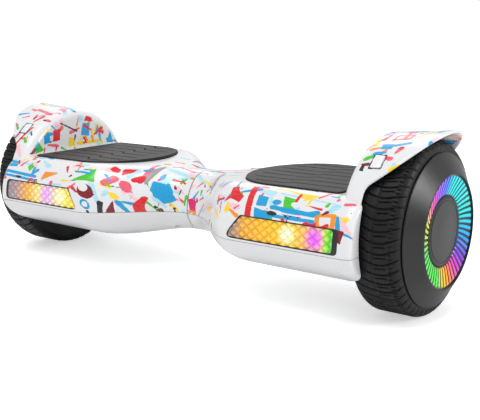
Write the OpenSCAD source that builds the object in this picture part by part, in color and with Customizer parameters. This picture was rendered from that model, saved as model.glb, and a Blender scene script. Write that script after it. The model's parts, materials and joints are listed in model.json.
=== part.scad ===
// Self balancing hoverboard: two twisting halves on two hub motor wheels.
// X runs along the axle, -Y is the front with the lamps, +Z is up, and Z = 0 is the floor.
// Left and right are the rider's, who faces -Y, so the left half lies at +X.

/* [Wheels] */
// Outer radius of the tyre, which is also the height of the axle
tyre_r = 84; // [78:0.5:105]
// Width of the tyre
tyre_w = 49.5; // [42:0.5:60]
// Radius of the drum that the tyre sits on
drum_r = 62; // [56:0.5:68]
// How far the sloping hub cover stands out from the tyre
hub_cover_h = 13; // [8:0.5:18]
// Radius of the motor axle in its bearings
axle_r = 7.5; // [6:0.25:9]
// Outer radius of the wheel bearings
bearing_r = 16; // [14:0.5:20]

/* [Body] */
// How far a foot deck reaches past the tyre, front and rear
deck_over = 21; // [12:1:44]
// Half of the depth of the waist
waist_hd = 38; // [34:1:46]
// Half of the height of the waist
waist_hh = 34; // [32:1:42]
// Height of the deck above the axle
deck_rise = 39; // [37:0.5:47]
// Depth of the belly below the axle
belly_drop = 50.5; // [46:0.5:60]
// Wall thickness of the covers
wall = 2.8; // [2:0.1:3.6]
// Distance from the middle of the board to where the decks reach full depth
flare_end = 112; // [100:1:135]
// Gap between the two halves at the waist
waist_gap = 1.6; // [1.2:0.1:3]

/* [Foot pads] */
// Length of a foot pad
pad_len = 140; // [118:1:168]
// Half of the depth of a foot pad
pad_hd = 72; // [66:1:84]
// Distance from the middle of the board to a pad's inner end
pad_in = 75; // [66:1:84]
// How far a pad stands above the deck
pad_rise = 1.8; // [1:0.1:3]
// How far a pad sinks under a foot
pad_travel = 1.5; // [1:0.1:2]

/* [Fenders] */
// Radius of the arch where it leaves the deck, beyond the tyre's radius
arch_clear = 5.5; // [5:0.5:10]
// How much wider the arch is at its outer rim
arch_flare = 5.5; // [2:0.5:9]
// Half of the depth of the arch's rounded outline, seen from above
arch_hd = 81; // [70:1:100]

/* [Lamps] */
// Height of a front lamp lens
lens_h = 22; // [18:0.5:26]
// Length of a front lamp lens along its lower edge
lens_len = 131; // [110:1:140]
// How far the lens's inner end leans
lens_lean = 18; // [4:1:20]

/* [Waist pivot] */
// Outer radius of the steel tube that joins the two halves
tube_r = 13.5; // [12:0.25:15]
// Wall of the tube
tube_wall = 3; // [2:0.25:4]
// Length of the tube
tube_len = 116; // [100:2:130]
// Wall of the bushings that the tube turns in
bush_wall = 2.5; // [2:0.25:3]

/* [Charging and power] */
// Radius of the charging port's collar bore
port_r = 8; // [6:0.25:9]
// Depth of the collar bore
port_depth = 7; // [5:0.5:9]
// Radius of the power button
button_r = 8; // [6:0.5:10]
// How far the power button presses in
button_travel = 1.5; // [1:0.1:2]

/* [Hidden] */

eps = 0.01;
fit = 0.05;              // running clearance of shafts
gap = 0.4;               // clearance between neighbouring pieces
seam = 0.4;              // shut line between the covers
axle_z = tyre_r;
deck_hd = tyre_r + deck_over; // half of the depth of a foot deck
pivot_z = axle_z - 2;
mid_z = axle_z - 8;      // height where the body is widest
seam_z = axle_z - 12;    // shut line of the top and bottom covers
deck_z = axle_z + deck_rise;
belly_z = axle_z - belly_drop;
flare_in = 5;
pad_out = pad_in + pad_len;
end_x = pad_out + 6;             // outer face of the deck's end wall, over the pad
well_x = end_x + wall;           // inner face of the wheel well
tyre_in = well_x + 5.5;
tyre_out = tyre_in + tyre_w;
face_x = tyre_out + hub_cover_h; // outermost face of the wheel
cheek_x = tyre_in + 15.5;        // outer end of the front and back cheeks
deck_flat = pad_hd;              // half depth of the flat part of the deck
arch_r = tyre_r + arch_clear;

// Smooth step from the waist, 0, to the deck, 1
function flare(x) = let (t = min(1, max(0, (x - flare_in) / (flare_end - flare_in)))) t * t * (3 - 2 * t);
function mix(a, b, t) = a + (b - a) * t;
// The last stretch of the cheeks rounds inwards on a quarter ellipse
end_run = 10;
end_drop = 6;
function end_inset(x) = let (t = min(1, max(0, (x - cheek_x + end_run) / end_run)))
    end_drop * (1 - sqrt(1 - t * t));

// Half depth, top and bottom of the body at a distance x from its middle
function half_depth(x) = mix(waist_hd, deck_hd, flare(x)) - end_inset(x);
function top_z(x) = mix(pivot_z + waist_hh, deck_z, flare(x)) - end_inset(x);
function bottom_z(x) = mix(pivot_z - waist_hh, belly_z, flare(x)) + end_inset(x);
function top_flat(x) = mix(6, deck_flat, flare(x));
function bottom_flat(x) = mix(5, 15, flare(x));

// A quarter ellipse of the section: flat half width, corner width, corner height
corner_n = 7;
function corner(flat, w, h, a0, sy, i0 = 0, i1 = corner_n) =
    [for (i = [i0 : i1]) let (a = a0 + 90 * i / corner_n) [sy * flat + w * cos(a), mid_z + h * sin(a)]];
// The body's cross-section at x, a depth d inside the outer skin
function section(x, d) =
    let (hd = half_depth(x) - d, up = top_z(x) - d - mid_z, down = mid_z - bottom_z(x) - d,
         tf = top_flat(x), bf = bottom_flat(x))
    concat(corner(tf, hd - tf, up, 0, 1), corner(tf, hd - tf, up, 90, -1),
           corner(bf, hd - bf, down, 180, -1, i0 = 1),
           corner(bf, hd - bf, down, 270, 1, i1 = corner_n - 1));

// Places one side's pieces: s is 1 for the left half at +X and -1 for the right half at -X
module side(s) {
    if (s > 0) children();
    else mirror([1, 0, 0]) children();
}

// Turns a shape drawn along Z so that it lies along +X at height z
module along_x(x, z = axle_z) {
    translate([x, 0, z]) rotate([0, 90, 0]) children();
}

// The section at x as points in space, and the solid between two of them
function ring_at(x, d) = [for (p = section(x, d)) [x, p[0], p[1]]];
module between(x0, x1, d) {
    a = ring_at(x0, d);
    b = ring_at(x1, d);
    n = len(a);
    hull() polyhedron(concat(a, b), [[for (i = [0 : n - 1]) i], [for (i = [2 * n - 1 : -1 : n]) i]]);
}

// The body's solid, a depth d inside its outer skin, from x0 to the cheeks' end
module body_solid(d, x0) {
    last = cheek_x - max(d, 0);
    steps = 9;
    xs = concat([x0, flare_in], [for (i = [1 : steps]) mix(flare_in, flare_end, i / steps)],
                [last - end_run, last - end_run / 2, last - end_run / 7, last]);
    for (i = [0 : len(xs) - 2]) between(xs[i], xs[i + 1], d);
}

// A solid of revolution about the wheel axis, from x0 to x1, whose radius grows with the flare
module arch_solid(r0, x0, x1, round = 0) {
    grow = arch_flare / (face_x - well_x);
    points = concat([[0, x0]],
        [for (a = [0 : 22.5 : 90]) [r0 - round + round * sin(a), x0 + round - round * cos(a)]],
        [[r0 + grow * (x1 - well_x), x1], [0, x1]]);
    along_x(0) rotate_extrude($fn = 96) polygon(points);
}

// The wheel arch's outer form, cut to its rounded outline
module arch_form() {
    intersection() {
        arch_solid(arch_r, end_x, face_x, 6);
        translate([0, 0, axle_z]) linear_extrude(2 * tyre_r) union() {
            translate([end_x, 0]) scale([face_x - end_x, arch_hd]) circle(1, $fn = 72);
            translate([end_x - 1, -deck_hd]) square([cheek_x - end_x - 1, 2 * deck_hd]);
        }
    }
}

// The space that the covers enclose
module cavity() {
    difference() {
        body_solid(wall, -1);
        arch_solid(arch_r + 0.6, end_x + 0.3, face_x);
    }
}

// Both covers of the left half as one shell, before they are parted
module cover_shell() {
    difference() {
        union() {
            body_solid(0, waist_gap / 2);
            arch_form();
        }
        cavity();
        arch_solid(arch_r - wall, well_x, face_x + 5);
        along_x(end_x - 1) cylinder(r = axle_r + 3, h = 20, $fn = 48);
    }
}

// --- Front lamps ---

lens_x1 = cheek_x - 13;
lens_x0 = lens_x1 - lens_len;
lens_z0 = seam_z + 3;

// The lens's outline in X and Z, grown by d
module lens_outline(d) {
    offset(r = 4 + d) offset(r = -4)
        polygon([[lens_x0, lens_z0], [lens_x1, lens_z0], [lens_x1, lens_z0 + lens_h],
                 [lens_x0 + lens_lean, lens_z0 + lens_h]]);
}

// A prism of the outline through the front face, from depth y0 to y1 behind the widest point
module lens_prism(d, y0, y1) {
    translate([0, -deck_hd + y1, 0]) rotate([90, 0, 0]) linear_extrude(y1 - y0) lens_outline(d);
}

lens_t = 4;
bezel_w = 1.6;

module lamp_lens(s) {
    color([0.95, 0.75, 0.35]) side(s) intersection() {
        difference() {
            body_solid(0.3, waist_gap / 2);
            body_solid(lens_t, -1);
        }
        lens_prism(-gap, -2, 12);
    }
}

module lamp_bezel(s) {
    color([0.1, 0.1, 0.11]) side(s) intersection() {
        difference() {
            body_solid(0, waist_gap / 2);
            body_solid(lens_t + 2, -1);
        }
        difference() {
            lens_prism(bezel_w - gap / 2, -2, 12);
            lens_prism(-gap / 2, -3, 13);
        }
    }
}

lamp_board_y = -deck_hd + 16;

module lamp_board(s) {
    led_count = 7;
    color([0.1, 0.4, 0.2]) side(s) {
        translate([lens_x0 + lens_lean, lamp_board_y, lens_z0 + 3])
            cube([end_x - 2 - lens_x0 - lens_lean, 1.6, lens_h - 6]);
        for (i = [0 : led_count - 1])
            translate([mix(lens_x0 + lens_lean + 8, end_x - 10, i / (led_count - 1)) - 2.5,
                       lamp_board_y - 1.5, lens_z0 + lens_h / 2 - 2.5])
                cube([5, 1.5 + eps, 5]);
    }
}

// --- Fender lamps, one at each end of the arch ---

lamp_angle = 40;         // from the crown
lamp_w = 10;
lamp_l = 15;
lamp_x = cheek_x - 4;

module fender_lamp_block(grow) {
    for (turn = [lamp_angle, -lamp_angle])
        translate([0, 0, axle_z]) rotate([turn, 0, 0])
            translate([lamp_x - grow, -lamp_l / 2 - grow, arch_r - wall + 0.4])
                cube([lamp_w + 2 * grow, lamp_l + 2 * grow, wall + 1.4 + 2 * grow]);
}

module fender_lamps(s) {
    color([0.96, 0.96, 0.94]) side(s) fender_lamp_block(0);
}

// --- Covers ---

pad_nose = 58;           // length of the pad's rounded inner end
pad_corner = 6;
// A pad's outline seen from above, grown by an amount
module pad_outline(grow) {
    translate([pad_in, 0]) hull() {
        intersection() {
            translate([pad_nose, 0]) scale([pad_nose + grow, pad_hd + grow]) circle(1, $fn = 96);
            translate([-grow, -pad_hd - grow]) square([pad_nose + grow, 2 * pad_hd + 2 * grow]);
        }
        for (y = [-1, 1]) translate([pad_len - pad_corner, y * (pad_hd - pad_corner)])
            circle(pad_corner + grow, $fn = 32);
    }
}

// Charging port and power button share a sunken panel in the right half's rear face
port_x = pad_in + 75;
button_x = port_x - port_r - button_r - 14;
port_z = axle_z + 2;
panel_sink = 5.2;
panel_t = 4;
panel_h = 28;
rear_y = deck_hd - panel_sink;

// The panel's block, from depth y0 to y1 behind its face, grown by d
module rear_panel(y0, y1, d) {
    x0 = button_x - button_r - 6 - d;
    x1 = port_x + port_r + 8 + d;
    translate([x0, rear_y - y1, port_z - panel_h / 2 + 1.2 - d]) cube([x1 - x0, y1 - y0, panel_h + 2 * d]);
}

module top_cover(s) {
    color([0.95, 0.93, 0.93]) side(s) difference() {
        union() {
            cover_shell();
            if (s < 0) intersection() {
                body_solid(0.2, waist_gap / 2);
                rear_panel(-20, panel_t, 3);
            }
        }
        translate([-5, -300, -5]) cube([500, 600, seam_z + seam / 2 + 5]);
        translate([0, 0, deck_z - 20]) linear_extrude(40) pad_outline(gap + 0.1);
        lens_prism(bezel_w, -5, 14);
        fender_lamp_block(gap / 2);
        if (s < 0) {
            for (hole = [[port_x, port_r + 3.2], [button_x, button_r + gap]])
                translate([hole[0], deck_hd - 25, port_z]) rotate([-90, 0, 0])
                    cylinder(r = hole[1], h = 40, $fn = 48);
            rear_panel(-20, 0, 0);
        }
    }
}

// Screws through the bottom cover into the chassis: distance from the middle, and from the middle line
screw_at = [[24, 26], [pad_in - 3, 50], [mix(pad_in, pad_out, 0.45), 52], [pad_out - 12, 52]];
screw_r = 2;
screw_head_r = 3.8;
foot_z = axle_z - 16;    // where the chassis feet meet the cover's bosses

module at_screws() {
    for (p = screw_at, y = [-1, 1]) translate([p[0], y * p[1], 0]) children();
}

module bottom_cover(s) {
    color([0.97, 0.97, 0.97]) side(s) difference() {
        union() {
            difference() {
                cover_shell();
                translate([-5, -300, seam_z - seam / 2]) cube([500, 600, 200]);
            }
            intersection() {
                body_solid(0.5, waist_gap / 2);
                at_screws() cylinder(r = screw_head_r + 2, h = foot_z - gap / 2, $fn = 32);
            }
        }
        at_screws() cylinder(r = screw_head_r + 0.3, h = foot_z - 3, $fn = 32);
        at_screws() cylinder(r = screw_r + 0.2, h = foot_z + 1, $fn = 32);
    }
}

module cover_screws(s) {
    color([0.35, 0.35, 0.37]) side(s) at_screws() {
        difference() {
            translate([0, 0, foot_z - 6]) cylinder(r = screw_head_r, h = 3, $fn = 32);
            translate([0, 0, foot_z - 6 - eps]) cylinder(r = 1.5, h = 1.5, $fn = 6);
        }
        translate([0, 0, foot_z - 3]) cylinder(r = screw_r, h = 10, $fn = 32);
    }
}

trim_x = 42;
trim_w = 6;
module trim_strips(s) {
    color([0.62, 0.63, 0.65]) side(s) intersection() {
        difference() {
            body_solid(-0.7, waist_gap / 2);
            body_solid(0, -1);
        }
        translate([trim_x, 0, mid_z]) rotate([90, 0, 90]) linear_extrude(trim_w)
            for (m = [0, 1]) mirror([m, 0])
                polygon([[0, 0], 100 * [cos(26), sin(26)], 100 * [cos(60), sin(60)]]);
    }
}

// --- Chassis ---

plate_z = axle_z + 13;   // underside of the plate under the foot pad
plate_t = 4;
plate_in = pad_in - 12;
plate_out = end_x - 5;
rail_y = 58;
rail_h = 20;
boss_r = tube_r + bush_wall + 4;
saddle_x = plate_out - 28;
saddle_l = 26;
saddle_hw = 22;
flat_h = axle_r * 4 / 3; // thickness across the axle's two flats
clamp_t = 14;

module at_clamp_screws() {
    for (x = [6, saddle_l - 6], y = [-1, 1])
        translate([saddle_x + x, y * (saddle_hw - 7), 0]) children();
}

module chassis(s) {
    boss_bore = s > 0 ? tube_r + bush_wall : tube_r;
    color([0.7, 0.71, 0.73]) side(s) difference() {
        union() {
            translate([plate_in, -rail_y, plate_z]) cube([plate_out - plate_in, 2 * rail_y, plate_t]);
            for (y = [-rail_y, rail_y - 4])
                translate([plate_in, y, plate_z - rail_h])
                    cube([plate_out - plate_in, 4, rail_h + eps]);
            along_x(6, pivot_z) cylinder(r = boss_r, h = plate_in, $fn = 64);
            translate([40, -boss_r + 2, pivot_z]) cube([plate_in - 40 + 10, 2 * boss_r - 4, plate_z - pivot_z + 1]);
            translate([plate_in, -rail_y, pivot_z]) cube([4, 2 * rail_y, plate_z - pivot_z + 1]);
            translate([saddle_x, -saddle_hw, axle_z + gap / 2])
                cube([saddle_l, 2 * saddle_hw, plate_z - axle_z]);
            for (p = screw_at, y = [-1, 1]) {
                tall = p[0] > plate_in ? plate_z + 1 : pivot_z + 4;
                translate([p[0], y * p[1], foot_z]) cylinder(r = 5, h = tall - foot_z, $fn = 32);
            }
            translate([screw_at[0][0] - 4, -screw_at[0][1], pivot_z - 3])
                cube([8, 2 * screw_at[0][1], 6]);
        }
        along_x(0, pivot_z) cylinder(r = boss_bore, h = plate_in + 20, $fn = 64);
        translate([saddle_x - 1, -axle_r, axle_z - 1]) cube([saddle_l + 2, 2 * axle_r, flat_h / 2 + 1]);
        at_clamp_screws() translate([0, 0, axle_z - 1]) cylinder(r = 3, h = 10, $fn = 32);
        at_screws() translate([0, 0, foot_z - 1]) cylinder(r = screw_r, h = 9, $fn = 32);
    }
}

module axle_clamp(s) {
    color([0.45, 0.46, 0.48]) side(s) difference() {
        translate([saddle_x, -saddle_hw, axle_z - gap / 2 - clamp_t]) cube([saddle_l, 2 * saddle_hw, clamp_t]);
        translate([saddle_x - 1, -axle_r, axle_z - flat_h / 2]) cube([saddle_l + 2, 2 * axle_r, flat_h]);
        at_clamp_screws() translate([0, 0, axle_z - clamp_t - 2]) cylinder(r = 3.2, h = clamp_t + 4, $fn = 32);
    }
}

module clamp_screws(s) {
    color([0.2, 0.2, 0.22]) side(s) at_clamp_screws() translate([0, 0, axle_z - gap / 2 - clamp_t]) {
        cylinder(r = 3, h = clamp_t + 8, $fn = 32);
        translate([0, 0, -4]) difference() {
            cylinder(r = 5, h = 4, $fn = 32);
            translate([0, 0, -eps]) cylinder(r = 2.5, h = 2.5, $fn = 6);
        }
    }
}

// --- Waist pivot ---

module pivot_tube() {
    color([0.6, 0.61, 0.63]) difference() {
        along_x(-tube_len / 2, pivot_z) cylinder(r = tube_r, h = tube_len, $fn = 64);
        along_x(-tube_len / 2 - 1, pivot_z) cylinder(r = tube_r - tube_wall, h = tube_len + 2, $fn = 64);
        circlip_ring(tube_r - 1.2, tube_r + 2, 1.4);
    }
}

bush_len = 14;
bush_out = tube_len / 2 - 8;

module pivot_bushings() {
    color([0.75, 0.6, 0.3]) for (x = [6, bush_out - bush_len]) difference() {
        along_x(x, pivot_z) cylinder(r = tube_r + bush_wall, h = bush_len, $fn = 64);
        along_x(x - 1, pivot_z) cylinder(r = tube_r + fit, h = bush_len + 2, $fn = 64);
    }
}

// A flat ring in the tube's groove just outside the outer bushing
module circlip_ring(r0, r1, t) {
    along_x(bush_out + gap, pivot_z) difference() {
        cylinder(r = r1, h = t, $fn = 64);
        translate([0, 0, -1]) cylinder(r = r0, h = t + 2, $fn = 64);
    }
}

module pivot_circlip() {
    color([0.3, 0.3, 0.32]) difference() {
        circlip_ring(tube_r - 1.1, tube_r + 1.8, 1.2);
        translate([0, -2.5, pivot_z]) cube([tube_len, 5, tube_r + 5]);
    }
}

module trunk_cable() {
    color([0.15, 0.15, 0.16]) {
        along_x(-tube_len / 2 - 6, pivot_z) cylinder(r = 4, h = tube_len + 12, $fn = 32);
        for (x = [-tube_len / 2 - 12, tube_len / 2]) along_x(x, pivot_z) cylinder(r = 6, h = 8, $fn = 32);
    }
}

// --- Electronics ---

battery_l = 98;
battery_hw = 38;
battery_x = plate_in + 14;
battery_z0 = belly_z + wall + 7;
battery_z1 = plate_z - 6;

module battery_pack() {
    color([0.15, 0.25, 0.5]) side(-1) {
        translate([battery_x, -battery_hw, battery_z0]) cube([battery_l, 2 * battery_hw, battery_z1 - battery_z0]);
        translate([battery_x - 6, 14, battery_z1 - 22]) cube([6 + eps, 16, 10]);
    }
}

module battery_strap() {
    top = plate_z;
    color([0.5, 0.5, 0.52]) side(-1) translate([battery_x + battery_l / 2 - 9, 0, 0]) difference() {
        translate([0, -battery_hw - 3, battery_z0 - 2])
            cube([18, 2 * battery_hw + 6, top - battery_z0 + 2]);
        translate([-1, -battery_hw, battery_z0]) cube([20, 2 * battery_hw, top - battery_z0 + 1]);
    }
}

module main_board() {
    board_x = battery_x - 4;
    board_z = plate_z - 14;
    color([0.1, 0.35, 0.2]) {
        translate([board_x, -40, board_z]) cube([96, 80, 1.6]);
        for (x = [8, 88], y = [-34, 34])
            translate([board_x + x, y, board_z + 1.6 - eps]) cylinder(r = 3, h = plate_z - board_z - 1.6 + eps, $fn = 32);
        for (i = [0 : 5]) translate([board_x + 10 + 13 * i, 18, board_z - 5]) cube([9, 4, 5 + eps]);
        for (i = [0 : 2]) translate([board_x + 24 + 22 * i, -22, board_z - 18])
            cylinder(r = 7, h = 18 + eps, $fn = 32);
        translate([board_x + 34, -4, board_z - 3]) cube([14, 14, 3 + eps]);
    }
}

gyro_x = mix(pad_in, pad_out, 0.45) - 15;
gyro_z = plate_z + plate_t;

// Board under the pad, with two slotted light gates that the pad's posts interrupt
module gyro_board(s) {
    color([0.1, 0.3, 0.45]) side(s) {
        translate([gyro_x + 30, -38, gyro_z + 3]) cube([34, 76, 1.6]);
        for (x = [34, 60], y = [-34, 34])
            translate([gyro_x + x, y, gyro_z]) cylinder(r = 2.5, h = 3 + eps, $fn = 32);
        for (y = [-24, 24]) translate([gyro_x + 34, y, gyro_z + 4.6 - eps]) difference() {
            translate([0, -6, 0]) cube([10, 12, 5]);
            translate([-1, -1.5, 1]) cube([12, 3, 5]);
        }
    }
}

pad_t = 6;
pad_top = deck_z + pad_rise;

module foot_pad(s) {
    post_x = gyro_x + 39;
    color([0.25, 0.25, 0.27]) side(s) {
        difference() {
            translate([0, 0, pad_top - pad_t]) linear_extrude(pad_t) pad_outline(-0.1);
            for (y = [-5 : 5]) translate([pad_in + 34, y * 12 - 1, pad_top - 1])
                cube([pad_len - 52, 2, 2]);
        }
        for (y = [-24, 24]) translate([post_x - 3, y - 1, gyro_z + 8.4])
            cube([6, 2, pad_top - pad_t - gyro_z - 8.4 + eps]);
    }
}

// --- Hub motor wheel ---

drum_in = tyre_in + 3;
drum_out = tyre_out - 1;
drum_wall = 4.4;
magnet_t = 3;
magnet_r = drum_r - drum_wall;   // the drum's inner wall
stator_r = magnet_r - magnet_t - 0.6;
bearing_w = 8;
bearing_in = drum_in;
bearing_out = drum_out - 14;
stator_x = drum_in + 11;
stator_l = bearing_out - stator_x - 4;

// A ring about the wheel axis
module ring(x, l, r0, r1, n = 96) {
    along_x(x) difference() {
        cylinder(r = r1, h = l, $fn = n);
        translate([0, 0, -1]) cylinder(r = r0, h = l + 2, $fn = n);
    }
}

module axle(s) {
    color([0.75, 0.76, 0.78]) side(s) difference() {
        union() {
            intersection() {
                along_x(saddle_x - 4) cylinder(r = axle_r, h = well_x - saddle_x + 6, $fn = 64);
                translate([saddle_x - 5, -axle_r - 1, axle_z - flat_h / 2])
                    cube([well_x - saddle_x + 8, 2 * axle_r + 2, flat_h]);
            }
            along_x(well_x + 1) cylinder(r = axle_r, h = bearing_out + bearing_w - well_x - 2, $fn = 64);
            along_x(bearing_in + bearing_w + 0.5) cylinder(r = axle_r + 2, h = bearing_out - bearing_in - bearing_w - 1, $fn = 64);
        }
        along_x(saddle_x - 5) cylinder(r = 2.6, h = bearing_in + bearing_w + 6 - saddle_x, $fn = 32);
    }
}

module motor_cable(s) {
    color([0.12, 0.12, 0.12]) side(s) {
        along_x(saddle_x - 4) cylinder(r = 2.6, h = well_x + 10 - saddle_x + 4, $fn = 32);
        translate([saddle_x - 12, -8, axle_z - 5]) cube([8, 16, 10]);
    }
}

module stator(s) {
    teeth = 18;
    color([0.72, 0.4, 0.2]) side(s) difference() {
        union() {
            ring(stator_x, stator_l, axle_r + 2, stator_r - 14);
            for (i = [0 : teeth - 1]) along_x(stator_x) rotate(i * 360 / teeth)
                translate([stator_r - 16, -4, 0]) cube([15.5, 8, stator_l]);
        }
        for (i = [0 : 5]) along_x(stator_x - 1) rotate(i * 60)
            translate([22, 0, 0]) cylinder(r = 6, h = stator_l + 2, $fn = 32);
    }
}

module hub_drum(s) {
    color([0.35, 0.36, 0.38]) side(s) {
        ring(drum_in, drum_out - drum_in, magnet_r, drum_r);
        ring(bearing_out + bearing_w, drum_out - bearing_out - bearing_w, 6, magnet_r + eps);
        ring(bearing_out - 1, bearing_w + 1 + eps, bearing_r, bearing_r + 5);
    }
}

module hub_plate(s) {
    color([0.4, 0.41, 0.43]) side(s) {
        ring(drum_in, 4, bearing_r, magnet_r);
        ring(drum_in, bearing_w, bearing_r, bearing_r + 4);
    }
}

module magnets(s) {
    poles = 30;
    color([0.55, 0.56, 0.6]) side(s) for (i = [0 : poles - 1])
        along_x(stator_x + 1) rotate(i * 360 / poles) rotate_extrude(angle = 10, $fn = 144)
            translate([magnet_r - magnet_t, 0]) square([magnet_t, stator_l - 2]);
}

module bearings(s) {
    color([0.82, 0.83, 0.85]) side(s) for (x = [bearing_in, bearing_out])
        ring(x, bearing_w, axle_r + fit, bearing_r);
}

shoulder = 9;            // rounding of the tyre's tread edge

tread_flats = 120;       // a loaded solid tyre stands on a flat, so its tread band is made of narrow flats
crown_r = tyre_r - 0.06; // under the band

module tyre(s) {
    color([0.09, 0.09, 0.1]) side(s) union() {
        along_x(0) rotate_extrude($fn = 144)
            polygon(concat(
                [[drum_r, tyre_in + 3], [drum_r + 3, tyre_in]],
                [for (a = [0 : 15 : 90]) [crown_r - shoulder + shoulder * sin(a), tyre_in + shoulder * (1 - cos(a))]],
                [for (a = [90 : -15 : 0]) [crown_r - shoulder + shoulder * sin(a), tyre_out - shoulder * (1 - cos(a))]],
                [[drum_r + 3, tyre_out], [drum_r, tyre_out - 1]]));
        along_x(tyre_in + shoulder) linear_extrude(tyre_w - 2 * shoulder) difference() {
            polygon([for (i = [0 : tread_flats - 1]) tyre_r * [cos(i * 360 / tread_flats), sin(i * 360 / tread_flats)]]);
            circle(r = crown_r - 4, $fn = 144);
        }
    }
}

cover_foot_r = tyre_r - 10;      // radius of the hub cover where it meets the tyre
ring_out_r = 54;                 // outer radius of the light ring
ring_in_r = 34;
ring_dish = 6;                   // how far the ring's inner edge lies back

module hub_cover(s) {
    back = tyre_out + 0.3;
    color([0.2, 0.2, 0.21]) side(s) along_x(0) rotate_extrude($fn = 144)
        polygon([[drum_r - 6, back], [cover_foot_r, back], [cover_foot_r, back + 1],
                 [ring_out_r + 1.5, face_x - 0.3], [ring_out_r + 0.6, face_x], [ring_out_r, face_x - 0.3],
                 [ring_out_r, face_x - 4], [drum_r - 10, back + 3], [drum_r - 10, back]]);
}

module led_ring(s) {
    color([0.25, 0.75, 0.85]) side(s) along_x(0) rotate_extrude($fn = 144)
        polygon([[ring_out_r, face_x - 1], [ring_in_r, face_x - ring_dish],
                 [ring_in_r, face_x - ring_dish - 3], [ring_out_r, face_x - 4]]);
}

module hub_cap(s) {
    color([0.22, 0.22, 0.23]) side(s) along_x(0) rotate_extrude($fn = 144)
        polygon([[0, tyre_out], [drum_r - 10, tyre_out], [drum_r - 10, tyre_out + 2],
                 [ring_in_r - 0.1, tyre_out + 2], [ring_in_r - 0.1, face_x - ring_dish - 1],
                 [ring_in_r - 2, face_x - ring_dish + 0.2], [12, face_x - ring_dish + 1.2],
                 [0, face_x - ring_dish + 1.2]]);
}

// --- Charging port and power button, in the right half's rear face ---

// Turns a shape drawn along Z so that it points out of the rear face at distance x
module rearwards(x, y) {
    side(-1) translate([x, y, port_z]) rotate([-90, 0, 0]) children();
}

flange_t = 1.5;
pocket_r = 5.4;

module charge_socket() {
    deep = port_depth + 9;
    color([0.14, 0.14, 0.15]) rearwards(port_x, rear_y + flange_t) difference() {
        union() {
            translate([0, 0, -flange_t]) cylinder(r = port_r + 3.4, h = flange_t, $fn = 64);
            translate([0, 0, -deep]) cylinder(r = port_r + 3, h = deep, $fn = 64);
        }
        translate([0, 0, -port_depth]) cylinder(r = port_r, h = port_depth + 1, $fn = 64);
        translate([0, 0, -deep + 2]) cylinder(r = pocket_r, h = deep, $fn = 64);
        for (a = [0 : 120 : 240]) rotate(a) translate([2.8, 0, -deep - 1]) cylinder(r = 0.9, h = 4, $fn = 24);
    }
}

module charge_pins() {
    deep = port_depth + 9;
    color([0.85, 0.72, 0.35]) rearwards(port_x, rear_y + flange_t)
        for (a = [0 : 120 : 240]) rotate(a) translate([2.8, 0, -deep - 3]) cylinder(r = 0.9, h = 10, $fn = 24);
}

cap_r = port_r + 3.6;
cap_t = 2.4;
hinge_rise = cap_r + 1.5;        // from the port's middle up to the cap's hinge

module charge_cap() {
    color([0.16, 0.16, 0.17]) rearwards(port_x, rear_y + flange_t + 0.3) {
        cylinder(r = cap_r, h = cap_t, $fn = 64);
        translate([-5, -hinge_rise, 0.4]) cube([10, hinge_rise - cap_r + 4, 1.6]);
        translate([-4, cap_r - 2, 0]) cube([8, 2.8, cap_t]);
    }
}

button_back = panel_t + 1.7;     // from the panel's face to the back of the button's flange

module power_button() {
    color([0.75, 0.1, 0.1]) rearwards(button_x, rear_y) {
        translate([0, 0, -panel_t - 0.2]) cylinder(r = button_r, h = panel_t + 2.7, $fn = 64);
        translate([0, 0, -button_back]) cylinder(r = button_r + 1.6, h = 1.5 + eps, $fn = 64);
    }
}

module button_switch() {
    back = -button_back - button_travel - 0.5;
    color([0.1, 0.1, 0.1]) rearwards(button_x, rear_y)
        translate([-8, -8, back - 7]) cube([16, 16, 7]);
}

top_cover(1);  // left_top_cover
bottom_cover(1);  // left_bottom_cover
chassis(1);  // left_chassis
axle_clamp(1);  // left_axle_clamp
clamp_screws(1);  // left_clamp_screws
cover_screws(1);  // left_cover_screws
trim_strips(1);  // left_trim_strips
foot_pad(1);  // left_foot_pad
gyro_board(1);  // left_gyro_board
lamp_lens(1);  // left_lamp_lens
lamp_bezel(1);  // left_lamp_bezel
lamp_board(1);  // left_lamp_board
fender_lamps(1);  // left_fender_lamps
axle(1);  // left_axle
stator(1);  // left_stator
motor_cable(1);  // left_motor_cable
hub_drum(1);  // left_hub_drum
hub_plate(1);  // left_hub_plate
magnets(1);  // left_magnets
bearings(1);  // left_bearings
tyre(1);  // left_tyre
hub_cover(1);  // left_hub_cover
led_ring(1);  // left_led_ring
hub_cap(1);  // left_hub_cap
top_cover(-1);  // right_top_cover
bottom_cover(-1);  // right_bottom_cover
chassis(-1);  // right_chassis
axle_clamp(-1);  // right_axle_clamp
clamp_screws(-1);  // right_clamp_screws
cover_screws(-1);  // right_cover_screws
trim_strips(-1);  // right_trim_strips
foot_pad(-1);  // right_foot_pad
gyro_board(-1);  // right_gyro_board
lamp_lens(-1);  // right_lamp_lens
lamp_bezel(-1);  // right_lamp_bezel
lamp_board(-1);  // right_lamp_board
fender_lamps(-1);  // right_fender_lamps
axle(-1);  // right_axle
stator(-1);  // right_stator
motor_cable(-1);  // right_motor_cable
hub_drum(-1);  // right_hub_drum
hub_plate(-1);  // right_hub_plate
magnets(-1);  // right_magnets
bearings(-1);  // right_bearings
tyre(-1);  // right_tyre
hub_cover(-1);  // right_hub_cover
led_ring(-1);  // right_led_ring
hub_cap(-1);  // right_hub_cap
pivot_tube();
pivot_bushings();
pivot_circlip();
battery_pack();
battery_strap();
main_board();
power_button();
button_switch();
charge_socket();
charge_pins();
charge_cap();
trunk_cable();
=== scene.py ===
"""A self balancing hoverboard, dressed around its fixed frame.

X runs along the axle, -Y is the front and Z is up. Lengths in the functions are in millimetres
and become metres where a mesh is stored. Left and right are the rider's, so left lies at +X.
"""

import json
import math

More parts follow.
